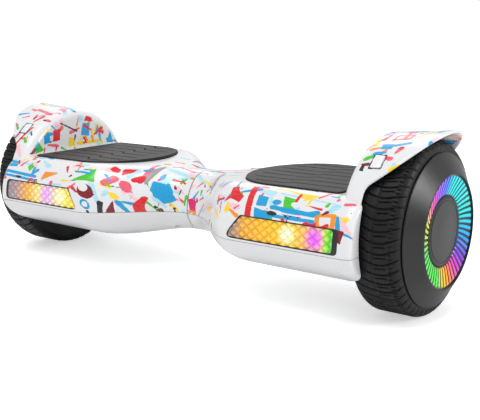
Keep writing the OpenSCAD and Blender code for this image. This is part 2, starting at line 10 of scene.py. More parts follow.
import bmesh
import bpy
import numpy as np
from mathutils import Euler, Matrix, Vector


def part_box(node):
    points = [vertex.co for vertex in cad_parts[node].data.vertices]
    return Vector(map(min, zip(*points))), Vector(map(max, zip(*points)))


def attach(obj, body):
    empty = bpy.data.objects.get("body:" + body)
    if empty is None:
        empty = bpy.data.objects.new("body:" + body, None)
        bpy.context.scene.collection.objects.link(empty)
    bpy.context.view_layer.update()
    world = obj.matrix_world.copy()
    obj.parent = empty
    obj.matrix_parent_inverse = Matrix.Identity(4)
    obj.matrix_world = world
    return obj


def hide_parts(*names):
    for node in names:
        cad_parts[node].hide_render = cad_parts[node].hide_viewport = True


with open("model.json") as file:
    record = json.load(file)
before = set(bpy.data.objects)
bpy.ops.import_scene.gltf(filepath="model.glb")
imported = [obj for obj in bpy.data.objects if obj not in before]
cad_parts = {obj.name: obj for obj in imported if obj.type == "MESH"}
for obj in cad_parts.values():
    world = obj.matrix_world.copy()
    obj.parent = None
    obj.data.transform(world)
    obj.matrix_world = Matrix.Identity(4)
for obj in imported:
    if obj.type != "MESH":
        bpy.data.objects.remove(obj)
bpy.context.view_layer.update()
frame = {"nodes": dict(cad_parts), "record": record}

bl_info = {
    "name": "Hoverboard",
    "version": (1, 0, 0),
    "blender": (4, 5, 0),
    "location": "3D View > Sidebar > Hoverboard",
    "description": "Builds a self balancing hoverboard around its frame",
    "category": "Add Mesh",
}

SIDES = {"left": 1, "right": -1}
MM = 0.001


def box_mm(node):
    """The lowest and highest corners of a frame node, in millimetres."""
    low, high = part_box(node)
    return np.array(low) / MM, np.array(high) / MM


TYRE_LOW, TYRE_HIGH = box_mm("left_tyre")
COVER_LOW, _ = box_mm("left_top_cover")
BELLY_LOW, BELLY_HIGH = box_mm("left_bottom_cover")
PAD_LOW, PAD_HIGH = box_mm("left_foot_pad")
LENS_LOW, LENS_HIGH = box_mm("left_lamp_lens")
_, FACE_HIGH = box_mm("left_hub_cover")
_, RING_HIGH = box_mm("left_led_ring")
CAP_LOW, CAP_HIGH = box_mm("left_hub_cap")
AXLE_Z = float(TYRE_LOW[2] + TYRE_HIGH[2]) / 2


# --- Sizes and colours a user would change ---


def length(label, text, value):
    """A length in millimetres, held in metres as Blender's units expect."""
    return bpy.props.FloatProperty(name=label, description=text, default=value * MM, unit="LENGTH", precision=4)


def colour(label, text, value):
    return bpy.props.FloatVectorProperty(
        name=label, description=text, default=value, size=3, subtype="COLOR", min=0.0, max=1.0
    )


class HoverboardSizes(bpy.types.PropertyGroup):
    waist_hd: length("Waist depth", "Half of the depth of the waist", 38.0)
    waist_hh: length("Waist height", "Half of the height of the waist", 34.0)
    flare_in: length("Flare start", "Where the waist starts to widen", 5.0)
    flare_end: length("Flare end", "Where the deck reaches its full depth", 112.0)
    wall: length("Wall", "Thickness of the covers", 2.8)
    arch_clear: length("Arch gap", "From the tyre's tread to the top of the arch at its root", 5.5)
    arch_flare: length("Arch flare", "How much wider the arch is at its rim", 5.5)
    arch_hd: length("Arch outline", "Half of the depth of the arch's outline from above", 81.0)
    quilt: length("Lens cut", "Size of one diamond of the lens", 10.5)
    groove: length("Pad grooves", "Depth of the grooves in the foot pads", 1.5)
    tread: length("Tread", "Depth of the tread's cuts", 1.8)


class HoverboardColours(bpy.types.PropertyGroup):
    shell: colour("Shell", "White of the covers", (0.80, 0.805, 0.82))
    rubber: colour("Tyre", "Tyre rubber", (0.005, 0.005, 0.0055))
    pad: colour("Pad", "Foot pad rubber", (0.019, 0.019, 0.021))
    hub: colour("Hub", "Hub cover plastic", (0.014, 0.014, 0.015))
    trim: colour("Trim", "Trim strips", (0.33, 0.34, 0.36))


def sizes():
    """The sizes in millimetres, under their names."""
    group = bpy.context.scene.hoverboard_sizes
    return type("Sizes", (), {key: getattr(group, key) / MM for key in HoverboardSizes.__annotations__})


def colours():
    """The colours that the panel shows."""
    return bpy.context.scene.hoverboard_colours


# --- Meshes from arrays ---


def store(name, points, faces, smooth_deg=35.0):
    """A mesh object from points in millimetres and a list of index arrays, one per face size."""
    mesh = bpy.data.meshes.new(name)
    mesh.from_pydata((np.asarray(points, float) * MM).tolist(), [], [f for part in faces for f in part.tolist()])
    mesh.update()
    obj = bpy.data.objects.new(name, mesh)
    bpy.context.scene.collection.objects.link(obj)
    shade(obj, smooth_deg)
    return obj


def shade(obj, smooth_deg):
    """Smooth shading, with edges sharper than an angle kept sharp."""
    mesh = obj.data
    mesh.polygons.foreach_set("use_smooth", [True] * len(mesh.polygons))
    mesh.set_sharp_from_angle(angle=math.radians(smooth_deg))


def quads(rows, cols, wrap_rows=False, wrap_cols=False):
    """The faces of a grid of rows by cols points, joined round where it wraps."""
    i = np.arange(rows if wrap_rows else rows - 1)
    j = np.arange(cols if wrap_cols else cols - 1)
    a, b = np.meshgrid(i, j, indexing="ij")
    a2, b2 = (a + 1) % rows, (b + 1) % cols
    return np.stack([a * cols + b, a2 * cols + b, a2 * cols + b2, a * cols + b2], -1).reshape(-1, 4)


def tube(name, rings, smooth_deg=35.0, closed=False):
    """A skin through closed rings of points, shaped (rings, points, 3), with a flat cap at each end."""
    rows, cols = rings.shape[:2]
    faces = [quads(rows, cols, closed, True)]
    if not closed:
        faces.append(np.arange(cols)[None, :])
        faces.append(np.arange((rows - 1) * cols, rows * cols)[None, ::-1])
    return outward(store(name, rings.reshape(-1, 3), faces, smooth_deg))


def outward(obj):
    """Merges doubled points and turns every face outwards."""
    bm = bmesh.new()
    bm.from_mesh(obj.data)
    bmesh.ops.remove_doubles(bm, verts=bm.verts, dist=1e-6)
    bmesh.ops.dissolve_degenerate(bm, edges=bm.edges, dist=1e-7)
    bmesh.ops.recalc_face_normals(bm, faces=bm.faces)
    bm.to_mesh(obj.data)
    bm.free()
    return obj


def mirrored(obj, side):
    """Turns a piece drawn for the left half into the right half's, faces still outwards."""
    if side < 0:
        mesh = obj.data
        co = np.empty(len(mesh.vertices) * 3)
        mesh.vertices.foreach_get("co", co)
        co = co.reshape(-1, 3)
        co[:, 0] *= -1
        mesh.vertices.foreach_set("co", co.ravel())
        mesh.flip_normals()
        mesh.update()
    return obj


def ramp(value, width):
    """0 below zero, 1 past the width and straight in between."""
    return np.clip(value / width, 0, 1)


def revolved(name, profile, count, smooth_deg=35.0, closed=False):
    """Turns a profile of (radius, x) points about the wheel axis."""
    profile = np.asarray(profile, float)
    angle = np.linspace(0, 2 * np.pi, count, endpoint=False)
    radius, x = profile[:, 0], profile[:, 1]
    wide = np.broadcast_to(x[:, None], (len(x), count))
    out = radius[:, None]
    points = np.stack([wide, out * np.sin(angle), AXLE_Z + out * np.cos(angle)], -1)
    return tube(name, points, smooth_deg, closed)


def prism(name, outline, low, high, axis):
    """Extrudes an outline of 2D points along an axis: 0 takes (y, z) points, 1 takes (x, z) and 2 takes (x, y)."""
    outline = np.asarray(outline, float)
    rings = []
    for level in (low, high):
        rings.append(np.insert(outline, axis, level, axis=1))
    return tube(name, np.array(rings), 30.0)


def rounded(points, radius, steps=6):
    """A closed outline with its corners rounded to a radius: each corner becomes an arc of steps points."""
    points = np.asarray(points, float)
    out = []
    for before, here, after in zip(np.roll(points, 1, 0), points, np.roll(points, -1, 0)):
        a = (before - here) / np.linalg.norm(before - here)
        b = (after - here) / np.linalg.norm(after - here)
        half = math.acos(np.clip(np.dot(a, b), -1, 1)) / 2
        run = min(radius / math.tan(half), 0.48 * min(np.linalg.norm(before - here), np.linalg.norm(after - here)))
        t = np.linspace(0, 1, steps)[:, None]
        out.append((1 - t) ** 2 * (here + a * run) + 2 * t * (1 - t) * here + t**2 * (here + b * run))
    return np.concatenate(out)


def combine(obj, other, how):
    """Joins, cuts or intersects obj with another closed mesh, which is then dropped."""
    mod = obj.modifiers.new(how, "BOOLEAN")
    mod.operation = how
    mod.solver = "MANIFOLD"
    mod.object = other
    bake_modifiers(obj)
    bpy.data.objects.remove(other)
    return obj


def bake_modifiers(obj):
    """Puts what the object's modifiers make into its mesh, and drops them."""
    depsgraph = bpy.context.evaluated_depsgraph_get()
    mesh = bpy.data.meshes.new_from_object(obj.evaluated_get(depsgraph))
    obj.modifiers.clear()
    old = obj.data
    obj.data = mesh
    bpy.data.meshes.remove(old)


def block(low, high):
    """A plain closed box, used for cuts."""
    (x0, y0, z0), (x1, y1, z1) = low, high
    return prism("cut", [(x0, y0), (x1, y0), (x1, y1), (x0, y1)], z0, z1, 2)


# --- The body's form ---

CHEEK_X = float(BELLY_HIGH[0])
DECK_Z = float(PAD_HIGH[2]) - 1.8
DECK_HD = float(-COVER_LOW[1])
BELLY_Z = float(BELLY_LOW[2])
PAD_HD = float(PAD_HIGH[1]) + 0.1
END_X = float(PAD_HIGH[0]) + 6.1
FACE_X = float(FACE_HIGH[0])
MID_Z = AXLE_Z - 8
PIVOT_Z = AXLE_Z - 2
SEAM_Z = AXLE_Z - 12
SEAM = 0.5
END_RUN, END_DROP = 10.0, 6.0


def flare(x, s):
    """Smooth step from 0 at the waist to 1 at the deck."""
    t = np.clip((x - s.flare_in) / (s.flare_end - s.flare_in), 0, 1)
    return t * t * (3 - 2 * t)


def section_sizes(x, depth, s):
    """Half depth, rise, drop and the two flat half widths of the section at x, a depth inside the skin."""
    t = flare(x, s)
    end = np.clip((x - CHEEK_X + END_RUN) / END_RUN, 0, 1)
    inset = depth + END_DROP * (1 - np.sqrt(np.maximum(1 - end * end, 0)))
    half = s.waist_hd + (DECK_HD - s.waist_hd) * t - inset
    rise = PIVOT_Z + s.waist_hh + (DECK_Z - PIVOT_Z - s.waist_hh) * t - inset - MID_Z
    drop = MID_Z - (PIVOT_Z - s.waist_hh + (BELLY_Z - PIVOT_Z + s.waist_hh) * t) - inset
    return half, rise, drop, 6 + (PAD_HD - 6) * t, 5 + 10 * t


def body_form(depth, x0, s, step=2.0, around=40):
    """The body as rings of four quarter ellipses joined by flats, so that each ring is rounded corners on a plank."""
    x1 = CHEEK_X - max(depth, 0)
    x = np.concatenate([np.linspace(x0, x1 - END_RUN, int((x1 - END_RUN - x0) / step) + 2),
                        x1 - END_RUN * (1 - np.sin(np.linspace(0, np.pi / 2, 8)[1:]))])
    half, rise, drop, top, bottom = (v[:, None] for v in section_sizes(x, depth, s))
    a = np.linspace(0, np.pi / 2, around)
    flat = np.linspace(-1, 1, around)[1:-1]
    upper_y = np.concatenate([top + (half - top) * np.cos(a), -top * flat, -top - (half - top) * np.sin(a)], 1)
    upper_z = np.concatenate([MID_Z + rise * np.sin(a), MID_Z + rise + 0 * flat, MID_Z + rise * np.cos(a)], 1)
    lower_y = np.concatenate([-bottom - (half - bottom) * np.cos(a[1:]), bottom * flat[::4],
                              bottom + (half - bottom) * np.sin(a[:-1])], 1)
    lower_z = np.concatenate([MID_Z - drop * np.sin(a[1:]), MID_Z - drop + 0 * flat[::4],
                              MID_Z - drop * np.cos(a[:-1])], 1)
    y, z = np.concatenate([upper_y, lower_y], 1), np.concatenate([upper_z, lower_z], 1)
    rings = np.stack([np.broadcast_to(x[:, None], y.shape), y, z], -1)
    return tube("body", rings)


WELL_BEVEL = 5.0


def arch_radius(x, s):
    """Outer radius of the arch at x: it widens evenly from its root to its rim."""
    return AXLE_Z + s.arch_clear + s.arch_flare * (x - END_X - s.wall) / (FACE_X - END_X - s.wall)


def rim_x(angle, s):
    """Where the arch's rim lies at an angle from the crown: an ellipse seen from above, easing into the cheeks."""
    y = np.minimum(np.abs(np.sin(angle)) * (arch_radius(FACE_X, s) - 2) / s.arch_hd, 1)
    ellipse = END_X + (FACE_X - END_X) * np.sqrt(1 - y * y)
    low, soft = CHEEK_X - 2, 6.0
    return low + 0.5 * (ellipse - low + np.sqrt((ellipse - low) ** 2 + soft**2))


def arch_form(s, count=241):
    """The wheel arch: a profile of wall, rounded shoulder, flared band and rounded lip, turned about the axle."""
    angle = np.linspace(-np.pi / 2, np.pi / 2, count)
    shoulder, lip = 12.0, s.wall / 2
    turn = np.linspace(0, np.pi / 2, 10)
    well_x = END_X + s.wall
    rows = []
    for theta in angle:
        x1 = min(rim_x(theta, s), FACE_X) - lip
        run = np.linspace(0, 1, 42)
        out_x = END_X + shoulder + (x1 - END_X - shoulder) * run
        out_r = arch_radius(out_x, s)
        start = arch_radius(END_X + shoulder, s)
        corner_r = start - shoulder * (1 - np.sin(turn[:-1]))
        corner_x = END_X + shoulder * (1 - np.cos(turn[:-1]))
        bend = np.linspace(0, np.pi, 8)[1:-1]
        lip_r = arch_radius(x1, s) - lip + lip * np.cos(bend)
        lip_x = x1 + lip * np.sin(bend)
        in_x = np.linspace(x1, well_x + WELL_BEVEL, 14)
        in_r = arch_radius(in_x, s) - s.wall
        wall_r = np.linspace(34, start - shoulder, 50)[:-1]
        r = np.concatenate([[0], wall_r, corner_r, out_r, lip_r, in_r, [in_r[-1] - WELL_BEVEL, 0]])
        x = np.concatenate([[END_X], np.full(49, END_X), corner_x, out_x, lip_x, in_x, [well_x, well_x]])
        rows.append(np.stack([x, r * np.sin(theta), AXLE_Z + r * np.cos(theta)], -1))
    return tube("arch", np.array(rows))


def well_form(grow, x0, s):
    """The space that the wheel turns in, as a solid of revolution."""
    x1 = FACE_X + 20
    root = arch_radius(x0 + WELL_BEVEL, s) - s.wall + grow
    mouth = arch_radius(x1, s) - s.wall + grow
    profile = [(0.001, x0), (root - WELL_BEVEL, x0), (root, x0 + WELL_BEVEL), (mouth, x1), (0.001, x1)]
    return revolved("well", profile, 240)


def shell_form(s):
    """Both covers of a half as one shell with its wheel arch, before they are parted."""
    body = body_form(0, 0.8, s, 1.6, 56)
    body = combine(body, arch_form(s), "UNION")
    cavity = body_form(s.wall, -2, s, 5.0, 14)
    combine(cavity, well_form(s.wall + 0.6, END_X + 0.3, s), "DIFFERENCE")
    combine(body, cavity, "DIFFERENCE")
    combine(body, well_form(0, END_X + s.wall, s), "DIFFERENCE")
    hole = revolved("hole", [(0.001, END_X - 2), (10.5, END_X - 2), (10.5, END_X + 10), (0.001, END_X + 10)], 48)
    return combine(body, hole, "DIFFERENCE")


def pad_half(x, grow=0.0):
    """Half width of the foot pad at x: a half ellipse at its nose, then straight, with small rounded corners."""
    nose, corner = 58.0, 6.0
    x0, x1 = float(PAD_LOW[0]) - 0.1 - grow, float(PAD_HIGH[0]) + 0.1 + grow
    t = np.clip((x0 + nose + grow - x) / (nose + grow), 0, 1)
    half = (PAD_HD + grow) * np.sqrt(np.maximum(1 - t * t, 0))
    c = corner + grow
    edge = np.clip((x - x1 + c) / c, 0, 1)
    return half - c * (1 - np.sqrt(np.maximum(1 - edge * edge, 0)))


def pad_stations(grow, count):
    """Places along a pad, closer together at its nose and at its corners."""
    x0, x1 = float(PAD_LOW[0]) - 0.1 - grow, float(PAD_HIGH[0]) + 0.1 + grow
    t = np.linspace(0, 1, count)
    nose = x0 + 58.0 * (1 - np.cos(t * np.pi / 2))
    return np.concatenate([nose, np.linspace(x0 + 58.0, x1 - 7, count)[1:], x1 - 7 * (1 - np.sin(t * np.pi / 2))[1:]])


def pad_outline(grow):
    """The foot pad from above: its half width along X, out along one side and back along the other."""
    x = pad_stations(grow, 24)
    y = pad_half(x, grow)
    return np.concatenate([np.stack([x, y], -1), np.stack([x, -y], -1)[::-1][:-1]])


LENS_X0, LENS_X1 = float(LENS_LOW[0]), float(LENS_HIGH[0])
LENS_Z0, LENS_Z1 = float(LENS_LOW[2]), float(LENS_HIGH[2])
LENS_LEAN = 18.0


def lens_outline(grow, short=0.0):
    """The lens seen from the front, grown by an amount and stopped short of its outer end by another."""
    g, x1 = grow, LENS_X1 - short
    corners = [(LENS_X0 - g, LENS_Z0 - g), (x1 + g, LENS_Z0 - g), (x1 + g, LENS_Z1 + g),
               (LENS_X0 + LENS_LEAN - g, LENS_Z1 + g)]
    return rounded(corners, 4 + g)


def fender_lamp_block(turn, grow, low, high):
    """A small block through the arch, at an angle from its crown."""
    half, x0 = 7.5 + grow, CHEEK_X - 4 - grow
    y, z = np.array([-half, half, half, -half]), np.array([low, low, high, high])
    c, q = math.cos(turn), math.sin(turn)
    return prism("marker", np.stack([y * c - z * q, y * q + z * c + AXLE_Z], -1), x0, x0 + 10 + 2 * grow, 0)


LAMP_TURN = math.radians(40)
SCREW_AT = [(24, 26), (72, 50), (138, 52), (203, 52)]
PORT_LOW, PORT_HIGH = box_mm("charge_socket")
BUTTON_LOW, BUTTON_HIGH = box_mm("power_button")

# --- Shader helpers ---


class Nodes:
    """Short calls for building a node tree: node() adds one with its inputs, link() joins two sockets."""

    def __init__(self, tree):
        self.tree = tree

    def node(self, kind, inputs=None, **settings):
        made = self.tree.nodes.new(kind)
        for key, value in settings.items():
            setattr(made, key, value)
        for key, value in (inputs or {}).items():
            socket = made.inputs[key]
            if isinstance(value, bpy.types.NodeSocket):
                self.tree.links.new(value, socket)
            else:
                socket.default_value = value
        return made

    def math(self, operation, a, b=0.0, c=0.0, clamp=False):
        return self.node("ShaderNodeMath", {0: a, 1: b, 2: c}, operation=operation, use_clamp=clamp).outputs[0]

    def mix(self, factor, a, b, blend="MIX"):
        made = self.node("ShaderNodeMix", {0: factor, 6: a, 7: b}, data_type="RGBA", blend_type=blend)
        return made.outputs[2]

    def step(self, value, low, high, to_low=0.0, to_high=1.0):
        return self.node("ShaderNodeMapRange", {0: value, 1: low, 2: high, 3: to_low, 4: to_high}).outputs[0]

    def ramp(self, factor, stops, interpolation="LINEAR"):
        made = self.node("ShaderNodeValToRGB", {0: factor})
        made.color_ramp.interpolation = interpolation
        elements = made.color_ramp.elements
        while len(elements) < len(stops):
            elements.new(0.5)
        for element, (place, value) in zip(elements, stops):
            element.position = place
            element.color = (*value, 1.0)
        return made.outputs[0]

    def place(self):
        return self.node("ShaderNodeTexCoord").outputs["Object"]

    def noise(self, vector, scale, detail=3.0, roughness=0.5):
        made = self.node("ShaderNodeTexNoise", {"Vector": vector, "Scale": scale, "Detail": detail, "Roughness": roughness})
        return made.outputs[0]


def group(name, inputs, outputs):
    """A new shader node group with its named sockets. Returns its nodes, its input node and its output node."""
    tree = bpy.data.node_groups.new(name, "ShaderNodeTree")
    for label, kind, default in inputs:
        socket = tree.interface.new_socket(label, in_out="INPUT", socket_type="NodeSocket" + kind)
        if default is not None:
            socket.default_value = default
    for label, kind in outputs:
        tree.interface.new_socket(label, in_out="OUTPUT", socket_type="NodeSocket" + kind)
    n = Nodes(tree)
    return n, tree.nodes.new("NodeGroupInput"), tree.nodes.new("NodeGroupOutput")


def place_group(n, name, inputs):
    """Puts a shared node group into a tree and fills its inputs with links or values."""
    made = n.node("ShaderNodeGroup")
    made.node_tree = bpy.data.node_groups[name]
    for key, value in inputs.items():
        if isinstance(value, bpy.types.NodeSocket):
            n.tree.links.new(value, made.inputs[key])
        else:
            made.inputs[key].default_value = value
    return made


def build_groups():
    """The effects that several materials share."""
    n, given, out = group(
        "Moulded Grain",
        [("Colour", "Color", (0.5, 0.5, 0.5, 1)), ("Roughness", "Float", 0.4), ("Scale", "Float", 900.0),
         ("Depth", "Float", 0.00004), ("Variation", "Float", 0.08), ("Dust", "Float", 0.1), ("Facing", "Vector", None)],
        [("Colour", "Color"), ("Roughness", "Float"), ("Normal", "Vector")],
    )
    place = n.place()
    fine = n.noise(place, given.outputs["Scale"], 4.0, 0.6)
    wide = n.noise(place, 28.0, 4.0, 0.55)
    shift = n.math("MULTIPLY", n.math("SUBTRACT", wide, 0.5), given.outputs["Variation"])
    bright = n.math("ADD", 1.0, shift)
    shaded = n.node("ShaderNodeMix", {0: 1.0, 6: given.outputs["Colour"], 7: n.node("ShaderNodeCombineColor", {
        0: bright, 1: bright, 2: bright}).outputs[0]}, data_type="RGBA", blend_type="MULTIPLY").outputs[2]
    # Dust gathers on what faces up
    up = n.node("ShaderNodeSeparateXYZ", {0: given.outputs["Facing"]}).outputs[2]
    dust = n.math("MULTIPLY", n.step(up, 0.3, 1.0), n.math("MULTIPLY", n.step(wide, 0.42, 0.68), given.outputs["Dust"]))
    n.tree.links.new(n.mix(dust, shaded, (0.5, 0.48, 0.45, 1)), out.inputs["Colour"])
    rough = n.math("ADD", given.outputs["Roughness"], n.math("MULTIPLY", n.math("SUBTRACT", wide, 0.5), 0.18))
    n.tree.links.new(n.math("ADD", rough, n.math("MULTIPLY", dust, 0.4), clamp=True), out.inputs["Roughness"])
    bump = n.node("ShaderNodeBump", {"Strength": 0.6, "Distance": given.outputs["Depth"], "Height": fine})
    n.tree.links.new(bump.outputs[0], out.inputs["Normal"])

    n, given, out = group(
        "Paint Layer",
        [("Under", "Color", (1, 1, 1, 1)), ("Paint", "Color", (1, 0, 0, 1)), ("Distance", "Float", 1.0),
         ("Wobble", "Float", 0.5), ("Soft", "Float", 0.25), ("Dry", "Float", 0.0)],
        [("Colour", "Color")],
    )
    place = n.place()
    ragged = n.math("MULTIPLY", n.math("SUBTRACT", n.noise(place, 260.0, 3.0, 0.6), 0.5), given.outputs["Wobble"])
    edge = n.math("ADD", given.outputs["Distance"], n.math("MULTIPLY", ragged, 4.0))
    cover = n.math("SUBTRACT", 0.5, n.math("DIVIDE", edge, given.outputs["Soft"]), clamp=True)
    streaks = n.node("ShaderNodeMapping", {"Vector": place, "Scale": (60.0, 900.0, 900.0)}).outputs[0]
    dry = n.math("MULTIPLY", n.step(n.noise(streaks, 1.0, 2.0), 0.45, 0.62), given.outputs["Dry"])
    factor = n.math("MULTIPLY", cover, n.math("SUBTRACT", 1.0, dry), clamp=True)
    n.tree.links.new(n.mix(factor, given.outputs["Under"], given.outputs["Paint"]), out.inputs["Colour"])


def new_material(name, roughness=0.4, **settings):
    """A material with its nodes cleared to one Principled shader. Returns the material, its nodes and the shader."""
    material = bpy.data.materials.new(name)
    material.use_nodes = True
    material.node_tree.nodes.clear()
    n = Nodes(material.node_tree)
    shader = n.node("ShaderNodeBsdfPrincipled", {"Roughness": roughness, **settings})
    out = n.node("ShaderNodeOutputMaterial")
    n.tree.links.new(shader.outputs[0], out.inputs[0])
    return material, n, shader


def moulded(name, rgb, roughness, scale=900.0, depth=0.00004, variation=0.08, dust=0.1, **settings):
    """A moulded, cast or ground surface: one colour with grain, slight unevenness and a little dust."""
    material, n, shader = new_material(name, **settings)
    grain = place_group(n, "Moulded Grain", {
        "Colour": (*rgb, 1), "Roughness": roughness, "Scale": scale, "Depth": depth, "Variation": variation, "Dust": dust,
        "Facing": n.node("ShaderNodeNewGeometry").outputs["Normal"]})
    for socket, target in (("Colour", "Base Color"), ("Roughness", "Roughness"), ("Normal", "Normal")):
        n.tree.links.new(grain.outputs[socket], shader.inputs[target])
    return material


def dress(obj, material, body, slot, *nodes):
    """Gives a new piece its finish and its body, and hides the frame nodes that it stands for."""
    obj.data.materials.clear()
    obj.data.materials.append(material)
    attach(obj, body)
    if nodes:
        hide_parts(*nodes)
    return obj


# --- The print on the top covers ---

# Paint layers from the lowest to the highest: name, colour, ragged edge, dry brush marks
LAYERS = [
    ("wash_blue", (0.36, 0.74, 0.88), 0.9, 0.4),
    ("wash_pink", (0.95, 0.55, 0.62), 0.9, 0.4),
    ("yellow", (0.95, 0.68, 0.01), 0.5, 0.1),
    ("orange", (0.90, 0.28, 0.005), 0.4, 0.05),
    ("pink", (0.85, 0.09, 0.15), 0.5, 0.15),
    ("magenta", (0.70, 0.0, 0.14), 0.4, 0.05),
    ("green", (0.05, 0.55, 0.01), 0.4, 0.05),
    ("cyan", (0.0, 0.34, 0.68), 0.3, 0.03),
    ("red", (0.72, 0.003, 0.008), 0.4, 0.05),
    ("maroon", (0.22, 0.0, 0.015), 0.4, 0.03),
    ("white", (0.80, 0.805, 0.82), 0.3, 0.0),
    ("black", (0.01, 0.01, 0.012), 0.4, 0.03),
]


def dab(u, v, angle, size, width, tip=0.5):
    """A brush dab: a straight stroke of some length whose half width shrinks to a share of itself at its tip."""
    turn = math.radians(angle)
    du, dv = math.cos(turn) * size, math.sin(turn) * size

    def distance(p, q):
        t = np.clip(((p - u) * du + (q - v) * dv) / (size * size), 0, 1)
        return np.hypot(p - u - t * du, q - v - t * dv) - width / 2 * (1 - (1 - tip) * t)

    return distance


def bow(u, v, radius, start, sweep, width):
    """A curved stroke along part of a circle."""
    middle, half = math.radians(start + sweep / 2), math.radians(sweep / 2)

    def distance(p, q):
        turn = (np.arctan2(q - v, p - u) - middle + np.pi) % (2 * np.pi) - np.pi
        nearest = middle + np.clip(turn, -half, half)
        return np.hypot(p - u - radius * np.cos(nearest), q - v - radius * np.sin(nearest)) - width / 2

    return distance


def spot(u, v, ru, rv=None):
    """An oval blob with its two half sizes."""
    rv = rv or ru

    def distance(p, q):
        return (np.hypot((p - u) / ru, (q - v) / rv) - 1) * min(ru, rv)

    return distance


def patch(*corners):
    """A filled outline with straight sides."""
    points = np.array(corners, float)

    def distance(p, q):
        best, inside = np.full(p.shape, 1e9), np.zeros(p.shape, bool)
        for (au, av), (bu, bv) in zip(points, np.roll(points, -1, 0)):
            eu, ev = bu - au, bv - av
            t = np.clip(((p - au) * eu + (q - av) * ev) / (eu * eu + ev * ev), 0, 1)
            best = np.minimum(best, np.hypot(p - au - t * eu, q - av - t * ev))
            cross = (av > q) != (bv > q)
            at = au + (q - av) * eu / np.where(ev == 0, 1e-9, ev)
            inside ^= cross & (p < at)
        return np.where(inside, -best, best)

    return distance


def zigzag(width, *points):
    """A thick line through some points."""
    parts = []
    for (au, av), (bu, bv) in zip(points[:-1], points[1:]):
        parts.append(dab(au, av, math.degrees(math.atan2(bv - av, bu - au)), math.hypot(bu - au, bv - av), width, 1.0))
    return lambda p, q: np.min([part(p, q) for part in parts], 0)


def splash(seed, u, v, spread, count):
    """Droplets flung about a point, fewer and smaller away from it."""
    rng = np.random.default_rng(seed)
    turn, far = rng.uniform(0, 2 * np.pi, count), spread * rng.uniform(0.1, 1, count) ** 1.5
    drops = [spot(u + f * math.cos(t), v + f * math.sin(t), 0.4 + 1.6 * (1 - f / spread) * rng.uniform(0.3, 1))
             for t, f in zip(turn, far)]
    return lambda p, q: np.min([drop(p, q) for drop in drops], 0)


def flurry(seed, low, high, count, size, width):
    """Short brush dabs in random directions over a region."""
    rng = np.random.default_rng(seed)
    parts = [dab(*rng.uniform(low, high), rng.uniform(0, 360), size * rng.uniform(0.4, 1), width * rng.uniform(0.5, 1))
             for _ in range(count)]
    return lambda p, q: np.min([part(p, q) for part in parts], 0)


def scatter(seed, low, high, share=1.0):
    """A loose flurry of most colours, to fill the ground between the larger strokes."""
    dabs = (("wash_blue", 10, 20, 10), ("wash_pink", 9, 16, 9), ("yellow", 10, 16, 6), ("orange", 6, 12, 5),
            ("pink", 9, 16, 6), ("magenta", 5, 10, 5), ("green", 7, 13, 5), ("cyan", 10, 20, 7), ("red", 8, 16, 5.5),
            ("maroon", 4, 8, 4), ("black", 6, 9, 2))
    return [(name, flurry(seed + i, low, high, round(count * share), size, width))
            for i, (name, count, size, width) in enumerate(dabs)]


# --- Covers ---


def front_y(x, z, depth, s):
    """How far forward (-Y) the body's skin lies at a distance x and a height z, a depth inside the skin."""
    half, rise, drop, top, bottom = section_sizes(x, depth, s)
    up = z >= MID_Z
    lift = np.clip(np.abs(z - MID_Z) / np.where(up, rise, drop), 0, 1)
    flat = np.where(up, top, bottom)
    return -(flat + (half - flat) * np.sqrt(1 - lift * lift))


def top_cover(side, s):
    """The printed upper cover with its wheel arch and its openings for the pad, the lamps and the rear panel."""
    shell = shell_form(s)
    panel_z0, panel_z1 = float(BUTTON_LOW[2]) - 5, float(BUTTON_HIGH[2]) + 8
    panel_x0, panel_x1 = -float(BUTTON_HIGH[0]) - 6, -float(PORT_LOW[0]) + 5
    if side < 0:
        backing = block((panel_x0 - 3, PANEL_Y - 4, panel_z0), (panel_x1 + 3, DECK_HD, panel_z1 + 3))
        combine(backing, body_form(0.2, 0.8, s, 6, 20), "INTERSECT")
        combine(shell, backing, "UNION")
    combine(shell, block((-20, -150, SEAM_Z + SEAM / 2), (330, 150, 230)), "INTERSECT")
    combine(shell, prism("cut", pad_outline(0.5), DECK_Z - 20, DECK_Z + 20, 2), "DIFFERENCE")
    combine(shell, prism("cut", lens_outline(1.1), -150, -DECK_HD + 14, 1), "DIFFERENCE")
    for turn in (LAMP_TURN, -LAMP_TURN):
        combine(shell, fender_lamp_block(turn, 0.3, 60, 120), "DIFFERENCE")
    if side < 0:
        combine(shell, block((panel_x0, PANEL_Y, panel_z0), (panel_x1, 150, panel_z1)), "DIFFERENCE")
        for low, high, grow in ((PORT_LOW, PORT_HIGH, 0.0), (BUTTON_LOW, BUTTON_HIGH, 0.4)):
            middle = (low + high) / 2
            turn = np.linspace(0, 2 * np.pi, 48, endpoint=False)
            radius = float(high[0] - low[0]) / 2 + grow
            ring = np.stack([-middle[0] + radius * np.cos(turn), middle[2] + radius * np.sin(turn)], -1)
            combine(shell, prism("cut", ring, DECK_HD - 25, DECK_HD + 20, 1), "DIFFERENCE")
    return shell


